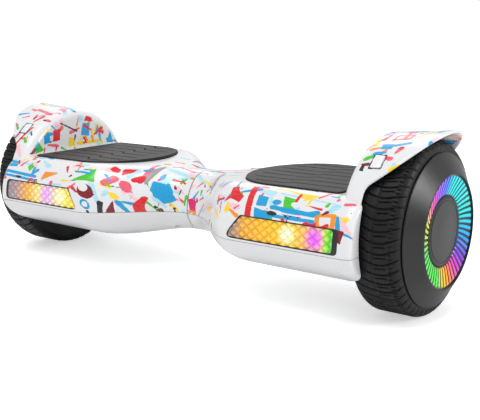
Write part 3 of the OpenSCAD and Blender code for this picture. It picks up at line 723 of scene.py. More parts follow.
def bottom_cover(side, s):
    """The plain lower cover: the part of the shell below the shut line, with bosses and sunken screw holes."""
    shell = shell_form(s)
    combine(shell, block((-20, -150, 0), (330, 150, SEAM_Z - SEAM / 2)), "INTERSECT")
    inner = body_form(0.6, 0.8, s, 6, 20)
    turn = np.linspace(0, 2 * np.pi, 32, endpoint=False)

    def rod(x, y, radius, top, base=0.0):
        return prism("rod", np.stack([x + radius * np.cos(turn), y + radius * np.sin(turn)], -1), base, top, 2)

    places = [(x, y * sign) for x, y in SCREW_AT for sign in (-1, 1)]
    bosses = rod(*places[0], 5.8, FOOT_Z - 0.2)
    for x, y in places[1:]:
        combine(bosses, rod(x, y, 5.8, FOOT_Z - 0.2), "UNION")
    combine(bosses, inner, "INTERSECT")
    combine(shell, bosses, "UNION")
    for x, y in places:
        combine(shell, rod(x, y, 4.1, FOOT_Z - 3, -5), "DIFFERENCE")
        combine(shell, rod(x, y, 2.2, FOOT_Z + 1, -5), "DIFFERENCE")
    return shell


PANEL_Y = DECK_HD - 5.2
FOOT_Z = AXLE_Z - 16


# --- Front lamps ---


def lens(side, s):
    """A clear lens whose front is cut into rows of small pyramids, fading out at its smooth outer end."""
    x = np.linspace(LENS_X0 - 0.5, LENS_X1 + 0.5, 290)
    z = np.linspace(LENS_Z0 - 0.5, LENS_Z1 + 0.5, 50)
    gx, gz = np.meshgrid(x, z, indexing="ij")
    a = (gx - LENS_X0) / s.quilt + (gz - LENS_Z0) / (0.8 * s.quilt)
    b = (gx - LENS_X0) / s.quilt - (gz - LENS_Z0) / (0.8 * s.quilt)
    facet = 1 - np.maximum(np.abs(2 * (a % 1) - 1), np.abs(2 * (b % 1) - 1))
    plain = np.clip((gx - (LENS_X1 - 17)) / 3, 0, 1)
    ribs = 0.35 * np.maximum(0, np.cos((gx - LENS_X1) * 2 * np.pi / 5.5)) ** 4
    depth = 1.7 - 1.35 * facet * (1 - plain) - ribs * plain - 0.9 * plain
    front = np.stack([gx, front_y(gx, gz, depth, s), gz], -1)
    back = np.stack([gx, front_y(gx, gz, 4.0, s), gz], -1)
    obj = slab("lens", front, back, 20)
    return combine(obj, prism("cut", lens_outline(-0.2, 4.5 if side > 0 else 1.6), -150, -60, 1), "INTERSECT")


def slab(name, front, back, smooth_deg=30.0):
    """A closed sheet between two grids of points of the same shape."""
    rows, cols = front.shape[:2]
    count = rows * cols
    faces = [quads(rows, cols), quads(rows, cols)[:, ::-1] + count]
    grid = np.arange(count).reshape(rows, cols)
    rim = np.concatenate([grid[:-1, 0], grid[-1, :-1], grid[:0:-1, -1], grid[0, :0:-1]])
    faces.append(np.stack([rim, np.roll(rim, -1), np.roll(rim, -1) + count, rim + count], -1))
    return outward(store(name, np.concatenate([front.reshape(-1, 3), back.reshape(-1, 3)]), faces, smooth_deg))


def bezel(side, s):
    """The thin dark frame round a lens, with a solid cap at the outer end."""
    x = np.linspace(LENS_X0 - 4, LENS_X1 + 4, 150)
    z = np.linspace(LENS_Z0 - 4, LENS_Z1 + 4, 24)
    gx, gz = np.meshgrid(x, z, indexing="ij")
    front = np.stack([gx, front_y(gx, gz, 0.1, s), gz], -1)
    back = np.stack([gx, front_y(gx, gz, 6.0, s), gz], -1)
    obj = slab("bezel", front, back)
    combine(obj, prism("cut", lens_outline(0.9), -150, -60, 1), "INTERSECT")
    return combine(obj, prism("cut", lens_outline(-0.1, 4.4 if side > 0 else 1.5), -160, -50, 1), "DIFFERENCE")


# --- Foot pads ---


def bent(y, x, rows, kink, at, drop):
    """Depth of grooves along X that all step sideways by an amount at one place."""
    shift = kink * np.clip((x - at) / 9 + 0.5, 0, 1)
    return drop * np.max([np.clip(1.6 - np.abs(y - row - shift) / 0.8, 0, 1) for row in rows], 0)


def foot_pad(side, s):
    """A rubber pad with a crowned edge and moulded grooves that differ from half to half."""
    x = np.concatenate([pad_stations(0, 16)[:15], np.linspace(float(PAD_LOW[0]) + 57.9, float(PAD_HIGH[0]) - 7, 66),
                        pad_stations(0, 16)[-15:]])
    t = np.sin(np.linspace(-np.pi / 2, np.pi / 2, 261) * 0.94) / math.sin(np.pi / 2 * 0.94)
    gx, gt = np.meshgrid(x, t, indexing="ij")
    half = pad_half(gx)
    gy = gt * half
    top = float(PAD_HIGH[2])
    rows = np.arange(-3, 4) * 19.0 - 3.0
    inside = np.minimum((1 - np.abs(gt)) * half, float(PAD_HIGH[0]) + 0.1 - gx)
    inner = np.clip((inside - 5) / 3, 0, 1)
    if side > 0:
        cut = bent(gy, gx, rows, 7.0, 150.0, s.groove) * np.clip((gx - 90 - np.abs(gy) * 0.1) / 3, 0, 1)
    else:
        cut = bent(gy, gx, rows, 10.0, 138.0, s.groove) * np.clip((gx - 92) / 3, 0, 1)
    edge = np.clip(1 - inside / 1.8, 0, 1)
    gz = top - cut * inner - 1.6 * (1 - np.sqrt(1 - edge * edge))
    up = np.stack([gx, gy, gz], -1)
    down = np.stack([gx, gy, np.full_like(gx, float(top - 6))], -1)
    return slab("pad", up, down, 40)


# --- Wheels ---


def tyre(side, s):
    """A solid rubber tyre: rounded shoulders, curved cuts across the tread and short ticks on its outer half."""
    around, r0 = 1056, float(TYRE_HIGH[2]) - AXLE_Z
    x0, x1 = float(TYRE_LOW[0]), float(TYRE_HIGH[0])
    sh, a = 9.0, np.linspace(0, np.pi / 2, 9)
    radius = np.concatenate([[r0 - 20], r0 - sh + sh * np.sin(a), np.full(26, r0), r0 - sh + sh * np.sin(a[::-1]),
                             [r0 - 12, r0 - 20]])
    x = np.concatenate([[x0], x0 + sh * (1 - np.cos(a)), np.linspace(x0 + sh, x1 - sh, 28)[1:-1],
                        x1 - sh * (1 - np.cos(a[::-1])), [x1, x1]])
    angle = np.linspace(0, 2 * np.pi, around, endpoint=False)
    gr, gx = radius[:, None], x[:, None]
    across = (gx - x0) / (x1 - x0)
    pitch = 52
    curve = angle + 0.10 * np.sin((across - 0.1) * np.pi)
    wave = np.abs(((curve * pitch / (2 * np.pi)) % 1) - 0.5) * 2
    main = ramp(wave - 0.80, 0.1) * ramp(across - 0.02, 0.04)
    tick = np.abs((((angle - 0.06 * (across - 0.5)) * pitch / (2 * np.pi) + 0.25) % 1) - 0.5) * 2
    short = ramp(tick - 0.84, 0.1) * ramp(across - 0.52, 0.03) * ramp(0.80 - across, 0.03)
    band = np.clip(1 - np.abs(across - 0.50) / 0.022, 0, 1)
    beat = np.abs(((angle * 132 / (2 * np.pi)) % 1) - 0.5) * 2
    teeth = ramp(beat - 0.45, 0.2) * ramp(across - 0.83, 0.02) * ramp(0.90 - across, 0.02)
    deepest = np.maximum(np.maximum(main, 0.8 * short), np.maximum(0.7 * band, teeth))
    cut = s.tread * deepest * ramp(gr - (r0 - 10), 4)
    r = gr - cut
    points = np.stack([np.broadcast_to(gx, r.shape), r * np.sin(angle), AXLE_Z + r * np.cos(angle)], -1)
    return tube("tyre", points, 30)


def hub_cover(side, s):
    """A truncated cone turned from a profile: foot, sloping face, rounded rim and the edge of the ring's opening."""
    back, foot, out = float(TYRE_HIGH[0]) + 0.3, float(FACE_HIGH[2]) - AXLE_Z, float(RING_HIGH[2]) - AXLE_Z
    profile = [(foot - 18, back), (foot - 0.8, back), (foot, back + 0.8), (foot - 0.3, back + 1.6),
               (out + 3.2, FACE_X - 1.3), (out + 1.7, FACE_X - 0.3), (out + 0.7, FACE_X), (out + 0.1, FACE_X - 0.3),
               (out, FACE_X - 1.2), (out, FACE_X - 4), (foot - 22, back + 3), (foot - 22, back + 1)]
    return revolved("hub cover", profile, 192, 30, True)


def light_ring(side, s):
    """A dished ring with raised slanting bars, each a small rounded ridge."""
    around = 960
    out, inner = float(RING_HIGH[2]) - AXLE_Z - 0.2, 34.0
    r = np.linspace(out, inner, 24)
    angle = np.linspace(0, 2 * np.pi, around, endpoint=False)
    gr = r[:, None]
    share = (out - gr) / (out - inner)
    face = FACE_X - 1.0 - share * 5.0
    bars = np.abs((((angle + 0.10 * share) * 50 / (2 * np.pi)) % 1) - 0.5) * 2
    lift = np.clip((0.62 - bars) / 0.2, 0, 1) * np.clip(share / 0.06 - 0.6, 0, 1) * np.clip((1 - share) / 0.06 - 0.6, 0, 1)
    gx = face - 0.9 + 0.9 * lift
    front = np.stack([gx, gr * np.sin(angle), AXLE_Z + gr * np.cos(angle)], -1)
    back_r = np.array([[inner], [out]])
    back = np.stack([np.broadcast_to([[FACE_X - 9.0], [FACE_X - 4.2]], (2, around)), back_r * np.sin(angle),
                     AXLE_Z + back_r * np.cos(angle)], -1)
    return tube("ring", np.concatenate([front, back]), 30, True)


def hub_cap(side, s):
    """A disc turned from a profile: a rim, a shallow groove and a gently domed middle."""
    x = float(CAP_HIGH[0])
    back = float(CAP_LOW[0])
    profile = [(0.001, back), (51.5, back), (51.5, back + 2), (33.8, back + 2), (33.8, x - 2.6), (33.2, x - 1.6),
               (31.8, x - 1.0), (30.6, x - 0.9), (30.2, x - 1.3), (29.2, x - 1.3), (28.8, x - 0.8), (13.5, x - 0.1),
               (12, x), (0.001, x)]
    return revolved("hub cap", profile, 128, 30)


# --- Small trim ---


def trim_strips(side, s):
    """Two thin leaves that hug the shoulders of the waist, pointed at their lower ends."""
    parts = []
    for sign in (-1, 1):
        t = np.linspace(0, 1, 40)[:, None]
        w = np.linspace(-1, 1, 9)[None, :]
        angle = np.radians(26 + 34 * t)
        x = 47.5 - 4.5 * t + w * 3.0 * np.sin(np.pi * np.clip(t * 0.8 + 0.04, 0, 1)) ** 0.7
        angle = np.broadcast_to(angle, x.shape)
        sheets = []
        for depth in (-0.7 * (1 - 0.7 * np.abs(w) ** 3) * np.ones_like(x), np.full_like(x, 0.6)):
            half, rise, _, top, _ = section_sizes(x, depth, s)
            # Follow the section outwards along a line from the middle
            reach = np.linspace(20, 120, 400)[:, None, None]
            y, z = reach * np.cos(angle), reach * np.sin(angle)
            lift = np.clip(z / rise, 0, 1)
            skin = top + (half - top) * np.sqrt(1 - lift * lift)
            within = (y < skin) & (z < rise)
            far = 20 + 100 * within.sum(0) / 400
            sheets.append(np.stack([x, sign * far * np.cos(angle), MID_Z + far * np.sin(angle)], -1))
        parts.append(slab("leaf", sheets[0], sheets[1], 50))
    return combine(parts[0], parts[1], "UNION")


def fender_lamps(side, s):
    """The small white lenses at the two ends of the arch."""
    radius = arch_radius(CHEEK_X, s)
    parts = []
    for turn in (LAMP_TURN, -LAMP_TURN):
        obj = fender_lamp_block(turn, 0, radius - s.wall, radius + 1.0)
        mod = obj.modifiers.new("round", "BEVEL")
        mod.width, mod.segments, mod.limit_method = 1.2 * MM, 3, "ANGLE"
        bake_modifiers(obj)
        shade(obj, 50)
        parts.append(obj)
    return combine(parts[0], parts[1], "UNION")


# --- Print strokes, placed by distance along the board and distance down from the deck's middle line ---

FRONT = {
    "left": [
        ("magenta", patch((0, 72), (8, 68), (14, 76), (12, 86), (4, 84))),
        ("orange", spot(11, 86, 3, 4)),
        ("wash_blue", zigzag(6, (2, 30), (12, 40), (20, 46))),
        ("pink", zigzag(2, (0, 24), (8, 22), (14, 26))),
        ("maroon", zigzag(1.2, (93, 110), (95, 125))),
        ("wash_blue", spot(93, 106, 3, 8)),
        ("wash_pink", spot(112, 118, 9, 5)),
        ("red", patch((96, 113), (103, 99), (101, 87), (108, 84), (113, 94), (121, 101), (118, 111), (106, 106))),
        ("pink", zigzag(2, (109, 95), (113, 87))),
        ("yellow", spot(105, 121, 4, 5)),
        ("red", patch((124, 80), (131, 81), (135, 126), (128, 129))),
        ("pink", zigzag(3, (126, 82), (134, 79), (141, 80))),
        ("wash_blue", patch((140, 84), (155, 86), (153, 95), (138, 93))),
        ("cyan", patch((137, 95), (149, 97), (150, 111), (138, 112))),
        ("cyan", patch((137, 114), (156, 119), (158, 128), (139, 127))),
        ("cyan", zigzag(6, (157, 111), (203, 114))),
        ("cyan", zigzag(4.5, (158, 122), (204, 122))),
        ("white", zigzag(2, (137, 112), (157, 117), (203, 118))),
        ("white", zigzag(1.5, (150, 96), (152, 112))),
        ("black", spot(158, 119, 6, 3)),
        ("cyan", spot(160, 103, 5, 4)),
        ("yellow", zigzag(3, (150, 80), (165, 80), (178, 84), (200, 85))),
        ("wash_blue", zigzag(2.5, (160, 88), (200, 92), (225, 95))),
        ("green", patch((165, 92), (181, 95), (175, 103), (185, 113), (169, 110))),
        ("red", zigzag(3.5, (181, 86), (180, 98))),
        ("red", patch((189, 129), (199, 122), (201, 129))),
        ("magenta", patch((199, 122), (208, 123), (208, 129), (199, 129))),
        ("black", splash(21, 175, 121, 14, 12)),
        ("orange", zigzag(5, (209, 128), (207, 113), (224, 111), (225, 128), (209, 128))),
        ("yellow", zigzag(2, (226, 112), (240, 113))),
        ("cyan", zigzag(3, (212, 81), (226, 82))),
        ("maroon", patch((230, 127), (238, 128), (235, 142), (231, 140))),
    ],
    "right": [
        ("cyan", patch((241, 92), (224, 92), (223, 104), (240, 105))),
        ("white", zigzag(1.5, (240, 98), (224, 98))),
        ("cyan", zigzag(5, (240, 113), (184, 117))),
        ("cyan", zigzag(4, (238, 120), (186, 123))),
        ("white", zigzag(1.5, (240, 117), (184, 120))),
        ("black", spot(213, 121, 5, 2)),
        ("green", patch((209, 89), (199, 93), (205, 100), (198, 110), (192, 100))),
        ("wash_blue", zigzag(4, (222, 94), (190, 98))),
        ("maroon", spot(193, 88, 2, 4)),
        ("magenta", patch((186, 122), (179, 120), (178, 127), (184, 127))),
        ("orange", patch((173, 122), (170, 106), (145, 105), (158, 113))),
        ("wash_blue", zigzag(3, (157, 125), (136, 124))),
        ("cyan", zigzag(4, (121, 98), (100, 97))),
        ("cyan", zigzag(3, (110, 92), (100, 90))),
        ("green", patch((124, 116), (91, 108), (97, 83), (104, 100))),
        ("maroon", spot(99, 125, 10, 10)),
        ("white", spot(102, 121, 6, 6)),
        ("cyan", bow(97, 142, 4.5, 0, 359, 2.5)),
        ("black", zigzag(3, (94, 149), (91, 156))),
        ("black", patch((85, 130), (79, 128), (80, 148), (84, 149))),
        ("maroon", patch((71, 119), (79, 144), (68, 140))),
        ("yellow", spot(71, 113, 5, 4)),
        ("pink", zigzag(8, (82, 103), (74, 88))),
        ("red", patch((83, 66), (74, 70), (73, 78), (79, 80), (84, 76))),
        ("red", patch((72, 66), (60, 56), (62, 66), (70, 80))),
        ("pink", spot(63, 92, 6, 8)),
        ("red", zigzag(6, (58, 78), (51, 66))),
        ("pink", zigzag(4.5, (51, 66), (50, 48), (54, 28))),
        ("orange", spot(52, 15, 5, 4)),
        ("red", patch((42, 90), (47, 92), (55, 110), (52, 125), (41, 114), (45, 104))),
        ("cyan", patch((14, 76), (30, 60), (42, 64), (42, 80), (28, 88))),
        ("wash_blue", zigzag(7, (4, 36), (40, 30))),
        ("pink", zigzag(3, (4, 24), (30, 18))),
        ("black", splash(7, 34, 98, 9, 9)),
        ("black", spot(29, 97, 1.5, 2.5)),
        ("wash_blue", spot(31, 62, 6, 12)),
        ("cyan", spot(36, 78, 4, 8)),
        ("wash_blue", zigzag(8, (28, 50), (12, 42))),
        ("wash_blue", zigzag(4, (24, 66), (12, 66))),
        ("black", zigzag(1.5, (11, 58), (13, 70))),
        ("yellow", zigzag(4, (21, 84), (14, 88))),
        ("black", splash(9, 17, 88, 7, 8)),
        ("pink", zigzag(2, (12, 26), (0, 22))),
        ("wash_pink", zigzag(6, (10, 32), (2, 30))),
    ],
}
for half_name, first_seed in (("left", 40), ("right", 70)):
    FRONT[half_name][:0] = scatter(first_seed, (2, 66), (242, 132)) + scatter(first_seed + 12, (2, 12), (60, 66), 0.2)
REAR = {"left": FRONT["right"], "right": FRONT["left"]}
ARCH = {
    "left": [
        ("black", patch((231, -74), (235, -74), (235, -66), (231, -66))),
        ("green", zigzag(5, (232, -60), (244, -52))),
        ("cyan", patch((240, -46), (252, -46), (252, -38), (240, -38))),
        ("cyan", zigzag(4, (254, -40), (266, -36))),
        ("red", zigzag(2.5, (246, -30), (262, -28), (262, -18), (247, -20), (246, -30))),
        ("yellow", zigzag(3, (268, -24), (280, -4))),
        ("cyan", zigzag(4, (282, -10), (288, 14))),
        ("maroon", patch((246, 22), (256, 24), (256, 34), (248, 30))),
        ("black", zigzag(1.5, (256, 30), (272, 32))),
        ("cyan", patch((256, 40), (274, 44), (270, 54), (256, 50))),
        ("orange", patch((270, 26), (282, 24), (286, 44), (276, 36))),
        ("cyan", patch((284, 42), (291, 44), (291, 62), (283, 60))),
    ],
    "right": [
        ("pink", zigzag(5, (232, -30), (262, -24))),
        ("pink", patch((226, -14), (238, -16), (240, -4), (228, -6))),
        ("magenta", zigzag(2, (226, -20), (250, -44))),
        ("red", zigzag(3, (236, -60), (250, -95))),
        ("red", zigzag(3, (246, -58), (258, -92))),
        ("maroon", spot(230, -44, 2, 2)),
        ("yellow", zigzag(3, (262, -12), (280, -6))),
        ("cyan", zigzag(4, (230, 30), (252, 44))),
    ],
}
WALL = {
    "left": [
        ("cyan", patch((-50, 128), (-34, 128), (-30, 142), (-46, 146))),
        ("orange", zigzag(4, (-20, 130), (6, 138))),
        ("green", zigzag(3, (20, 128), (30, 140), (42, 132))),
        ("red", patch((50, 128), (62, 128), (58, 142))),
    ],
    "right": [
        ("maroon", spot(-72, 131, 7, 7)),
        ("white", spot(-70, 134, 4, 4)),
        ("pink", zigzag(5, (-60, 156), (-40, 164), (-20, 168))),
        ("cyan", patch((8, 140), (22, 138), (24, 154), (12, 156))),
        ("red", patch((14, 158), (30, 156), (22, 168))),
        ("green", patch((-67, 124), (-53, 127), (-62, 141))),
        ("cyan", patch((-52, 134), (-42, 136), (-43, 148), (-52, 145))),
        ("red", patch((-38, 136), (-27, 137), (-25, 152), (-37, 150))),
        ("black", zigzag(2, (-24, 158), (2, 146))),
        ("yellow", patch((-14, 128), (-2, 127), (-4, 138), (-12, 140))),
        ("yellow", zigzag(4, (2, 130), (40, 130))),
        ("yellow", patch((30, 140), (42, 138), (44, 148), (34, 152))),
        ("cyan", patch((52, 126), (64, 125), (60, 142))),
        ("green", zigzag(2.5, (66, 138), (72, 128))),
        ("maroon", spot(74, 126, 2, 1.5)),
    ],
}


for half_name, first_seed in (("left", 100), ("right", 130)):
    ARCH[half_name][:0] = scatter(first_seed, (224, -95), (290, 95), 0.7)
    for y in (-62.5, 62.5):
        surround = [(239.6, y - 8), (252, y - 8), (252, y + 8), (239.6, y + 8), (239.6, y - 8)]
        ARCH[half_name].append(("black", zigzag(1.4, *surround)))
    WALL[half_name][:0] = scatter(first_seed + 12, (-76, 124), (76, 170), 0.8)


def layer_distances(strokes, p, q):
    """For each paint layer, the distance from each place to that layer's nearest stroke, capped."""
    rows = {name: np.full(p.shape, 9.0) for name, *_ in LAYERS}
    for name, stroke in strokes:
        np.minimum(rows[name], stroke(p, q), out=rows[name])
    return np.array([rows[name] for name, *_ in LAYERS])


def paint(obj, side, s):
    """Stores each vertex's distance to every paint layer's strokes, three layers to an attribute."""
    mesh = obj.data
    co = np.empty(len(mesh.vertices) * 3)
    mesh.vertices.foreach_get("co", co)
    x, y, z = (co.reshape(-1, 3) / MM).T
    x = np.abs(x)
    half = "left" if side > 0 else "right"
    radius, theta = np.hypot(y, z - AXLE_Z), np.arctan2(y, z - AXLE_Z)
    root = AXLE_Z + s.arch_clear
    wall = (x < END_X + 1.0) & (x > END_X - 1.0) & (z > DECK_Z + 0.5)
    arch = (x > END_X + 0.9) & (radius > root - s.wall - 2) & (z > DECK_Z - 30) & (
        (radius < arch_radius(x, s) + 0.6) | (z > DECK_Z + 1))
    body_w = np.abs(y) + DECK_Z - z
    found = np.where(y < 0, layer_distances(FRONT[half], x, body_w), layer_distances(REAR[half], x, body_w))
    found = np.where(arch, layer_distances(ARCH[half], x, theta * root), found)
    found = np.where(wall, layer_distances(WALL[half], y, z), found)
    for i in range(0, len(LAYERS), 3):
        layer = mesh.attributes.new("paint_%d" % (i // 3), "FLOAT_VECTOR", "POINT")
        layer.data.foreach_set("vector", found[i:i + 3].T.astype(np.float32).ravel())


def printed_material(name, shell):
    """White plastic under painted layers, finished with a clear gloss coat."""
    material, n, shader = new_material(name, **{"Coat Weight": 0.15, "Coat Roughness": 0.06})
    surface = (*shell, 1)
    for i, (_, rgb, ragged, dry) in enumerate(LAYERS):
        if i % 3 == 0:
            parts = n.node("ShaderNodeSeparateXYZ", {
                0: n.node("ShaderNodeAttribute", attribute_name="paint_%d" % (i // 3)).outputs["Vector"]})
        layer = place_group(n, "Paint Layer", {
            "Under": surface, "Paint": (*rgb, 1), "Distance": parts.outputs[i % 3], "Wobble": ragged, "Dry": dry})
        surface = layer.outputs[0]
    grain = place_group(n, "Moulded Grain", {
        "Colour": surface, "Roughness": 0.22, "Scale": 1400.0, "Depth": 0.00001, "Variation": 0.02, "Dust": 0.0,
        "Facing": n.node("ShaderNodeNewGeometry").outputs["Normal"]})
    for socket, target in (("Colour", "Base Color"), ("Roughness", "Roughness"), ("Normal", "Normal")):
        n.tree.links.new(grain.outputs[socket], shader.inputs[target])
    return material


# --- Operators ---


def named(obj, side_name, label):
    """Names an object and its mesh after its half and its piece."""
    obj.name = side_name + "_" + label
    obj.data.name = obj.name
    return obj


class HOVERBOARD_OT_covers(bpy.types.Operator):
    """Build the printed top covers and the plain bottom covers"""

    bl_idname = "hoverboard.covers"
    bl_label = "Covers"
    bl_options = {"REGISTER", "UNDO"}

    def execute(self, context):
        s, c = sizes(), colours()
        printed = printed_material("Printed shell", c.shell)
        coat = {"Coat Weight": 0.35, "Coat Roughness": 0.06}
        plain = moulded("White shell", c.shell, 0.24, 1400.0, 0.00001, 0.02, 0.0, **coat)
        for name, side in SIDES.items():
            top = top_cover(side, s)
            shade(top, 32)
            paint(top, side, s)
            dress(named(mirrored(top, side), name, "upper_cover"), printed,
                  name + "_half", "printed_shell", name + "_top_cover")
            bottom = bottom_cover(side, s)
            shade(bottom, 32)
            dress(named(mirrored(bottom, side), name, "lower_cover"), plain,
                  name + "_half", "white_shell", name + "_bottom_cover")
        return {"FINISHED"}


class HOVERBOARD_OT_stage(bpy.types.Operator):
    """Set up the pale floor, the lights and the camera"""

    bl_idname = "hoverboard.stage"
    bl_label = "Stage"
    bl_options = {"REGISTER", "UNDO"}

    def execute(self, context):
        scene = bpy.context.scene
        span = 6000.0
        corners = [(-span, -span, 0), (span, -span, 0), (span, span, 0), (-span, span, 0)]
        floor = store("floor", corners, [np.array([[0, 1, 2, 3]])])
        paper = moulded("Floor", (0.93, 0.93, 0.93), 0.6, 60.0, 0.0, 0.01, 0.0, **{"Emission Color": (1, 1, 1, 1)})
        floor.data.materials.append(paper)
        # The floor and the sky look white, but light the object less than they look
        n = Nodes(paper.node_tree)
        shader = next(node for node in n.tree.nodes if node.type == "BSDF_PRINCIPLED")
        seen = n.node("ShaderNodeLightPath").outputs["Is Camera Ray"]
        n.tree.links.new(n.math("MULTIPLY", seen, 0.5), shader.inputs["Emission Strength"])
        world = bpy.data.worlds.new("Studio")
        world.use_nodes = True
        n = Nodes(world.node_tree)
        seen = n.node("ShaderNodeLightPath").outputs["Is Camera Ray"]
        n.tree.links.new(n.step(seen, 0.0, 1.0, 0.66, 1.0), n.tree.nodes["Background"].inputs["Strength"])
        n.tree.nodes["Background"].inputs["Color"].default_value = (1, 1, 1, 1)
        scene.world = world
        scene.view_settings.view_transform = "Standard"
        for name, place, size, power in (("Key", (0.1, -1.0, 2.2), 1.2, 22.0), ("Side", (1.5, 0.45, 0.65), 0.45, 7.0),
                                         ("Back", (-1.4, 1.6, 1.6), 1.4, 8.0)):
            lamp = bpy.data.lights.new(name, "AREA")
            lamp.energy, lamp.size = power, size
            obj = bpy.data.objects.new(name, lamp)
            obj.location = place
            obj.rotation_euler = (Vector((0, 0, 0.1)) - Vector(place)).to_track_quat("-Z", "Y").to_euler()
            scene.collection.objects.link(obj)
        data = bpy.data.cameras.new("Camera")
        data.lens, data.sensor_width = 62.1, 36.0
        camera = bpy.data.objects.new("Camera", data)
        camera.location = (0.5955, -0.7122, 0.2663)
        turn = Euler((0, 0, math.radians(37.72))).to_matrix() @ Euler((math.radians(90 - 12.0), 0, 0)).to_matrix()
        camera.rotation_euler = (turn @ Euler((0, 0, math.radians(-0.53))).to_matrix()).to_euler()
        scene.collection.objects.link(camera)
        scene.camera = camera
        return {"FINISHED"}


class HOVERBOARD_OT_lamps(bpy.types.Operator):
    """Build the front lenses with their frames and the small lamps on the arches"""

    bl_idname = "hoverboard.lamps"
    bl_label = "Lamps"
    bl_options = {"REGISTER", "UNDO"}

    def execute(self, context):
        s = sizes()
        frame_finish = moulded("Black frame", (0.018, 0.018, 0.02), 0.3, 1200.0, 0.00001, 0.05, 0.1)
        white = moulded("Marker lens", (0.86, 0.86, 0.88), 0.15, 1200.0, 0.0, 0.02, 0.0, **{"Coat Weight": 0.5})
        for name, side in SIDES.items():
            body = name + "_half"
            dress(named(mirrored(lens(side, s), side), name, "front_lens"), lens_material(name, s),
                  body, "lamp_lens", name + "_lamp_lens")
            dress(named(mirrored(bezel(side, s), side), name, "lens_frame"), frame_finish,
                  body, "black_plastic", name + "_lamp_bezel")
            dress(named(mirrored(fender_lamps(side, s), side), name, "marker_lamps"), white,
                  body, "marker_lens", name + "_fender_lamps")
        return {"FINISHED"}


def lens_material(half, s):
    """Clear plastic lit from behind in bands of colour, with painted shade and highlight on each diamond, darker at its
    edges and brighter in its middle, and two hot spots.
    """
    material, n, shader = new_material("Lens " + half, 0.12, **{"Coat Weight": 0.4, "Coat Roughness": 0.03})
    place = n.place()
    parts = n.node("ShaderNodeSeparateXYZ", {0: place})
    z = n.math("SUBTRACT", parts.outputs[2], LENS_Z0 * MM)
    x = n.math("SUBTRACT", n.math("ABSOLUTE", parts.outputs[0]), LENS_X0 * MM)
    along = n.math("DIVIDE", x, (LENS_X1 - LENS_X0) * MM)
    surface = n.ramp(along, GLOW[half])
    for centre, rgb in HOT_SPOTS[half]:
        away = n.math("SQRT", n.math("ADD", n.math("POWER", n.math("SUBTRACT", x, centre * MM), 2.0),
                                     n.math("POWER", n.math("SUBTRACT", z, 10.5 * MM), 2.0)))
        surface = n.mix(n.step(away, 0.011, 0.003), surface, (*rgb, 1))
    # Painted shade and highlight: each diamond is darkened at its edges and brightened in its middle, over the lamp's
    # own glow
    lean_x, lean_z = n.math("DIVIDE", x, s.quilt * MM), n.math("DIVIDE", z, 0.8 * s.quilt * MM)
    sides = [n.math("ABSOLUTE", n.math("SUBTRACT", n.math("MULTIPLY", n.math("FRACT", n.math(way, lean_x, lean_z)), 2.0), 1.0))
             for way in ("ADD", "SUBTRACT")]
    facet = n.math("SUBTRACT", 1.0, n.math("MAXIMUM", *sides))
    speck = n.step(n.noise(place, 420.0, 2.0), 0.3, 0.7, -0.12, 0.12)
    bright = n.math("ADD", n.step(facet, 0.0, 0.7, 0.62, 1.12), speck)
    grey = n.node("ShaderNodeCombineColor", {0: bright, 1: bright, 2: bright}).outputs[0]
    tinted = n.mix(1.0, surface, grey, "MULTIPLY")
    n.tree.links.new(tinted, shader.inputs["Base Color"])
    n.tree.links.new(tinted, shader.inputs["Emission Color"])
    shader.inputs["Emission Strength"].default_value = 0.4
    return material


# Colours along each lens from its inner end, and its bright places: millimetres from the inner end, and colour
GLOW = {
    "left": [(0.0, (0.30, 0.24, 0.22)), (0.10, (0.42, 0.26, 0.16)), (0.17, (0.80, 0.36, 0.03)), (0.34, (0.90, 0.44, 0.01)),
             (0.50, (0.92, 0.50, 0.01)), (0.62, (0.90, 0.58, 0.03)), (0.71, (0.88, 0.46, 0.10)), (0.80, (0.75, 0.28, 0.35)),
             (0.87, (0.85, 0.45, 0.30)), (0.91, (0.30, 0.70, 0.04)), (0.94, (0.08, 0.55, 0.02)), (1.0, (0.35, 0.55, 0.30))],
    "right": [(0.0, (0.80, 0.62, 0.05)), (0.2, (0.90, 0.72, 0.12)), (0.32, (0.80, 0.62, 0.45)), (0.42, (0.72, 0.45, 0.72)),
              (0.55, (0.90, 0.70, 0.25)), (0.7, (0.85, 0.40, 0.03)), (0.82, (0.55, 0.30, 0.20)), (0.9, (0.34, 0.25, 0.28)),
              (1.0, (0.28, 0.22, 0.24))],
}
HOT_SPOTS = {
    "left": [(72, (1.0, 0.98, 0.60)), (102, (0.75, 0.10, 0.85))],
    "right": [(30, (1.0, 0.95, 0.55)), (56, (0.80, 0.35, 0.85))],
}


def pad_material(rgb):
    """Matt rubber with painted shade: almost black where it lies below its top face, in the grooves and round the edge.
    """
    material, n, shader = new_material("Pad rubber", **{"Specular IOR Level": 0.35})
    height = n.node("ShaderNodeSeparateXYZ", {0: n.place()}).outputs[2]
    # Painted shade: below the top face, in the grooves and down the crowned edge, the rubber turns almost black
    raised = n.step(height, float(PAD_HIGH[2]) * MM - 0.0011, float(PAD_HIGH[2]) * MM - 0.0003)
    grain = place_group(n, "Moulded Grain", {
        "Colour": n.mix(raised, (0.004, 0.004, 0.005, 1), (*rgb, 1)), "Roughness": 0.55, "Scale": 700.0, "Depth": 0.00006,
        "Variation": 0.12, "Dust": 0.05, "Facing": n.node("ShaderNodeNewGeometry").outputs["Normal"]})
    for socket, target in (("Colour", "Base Color"), ("Roughness", "Roughness"), ("Normal", "Normal")):
        n.tree.links.new(grain.outputs[socket], shader.inputs[target])
    return material


class HOVERBOARD_OT_pads(bpy.types.Operator):
    """Build the grooved foot pads"""

    bl_idname = "hoverboard.pads"
    bl_label = "Foot pads"
    bl_options = {"REGISTER", "UNDO"}

    def execute(self, context):
        s, c = sizes(), colours()
        rubber = pad_material(c.pad)
        for name, side in SIDES.items():
            dress(named(mirrored(foot_pad(side, s), side), name, "pad"), rubber,
                  name + "_pad", "pad_rubber", name + "_foot_pad")
        return {"FINISHED"}


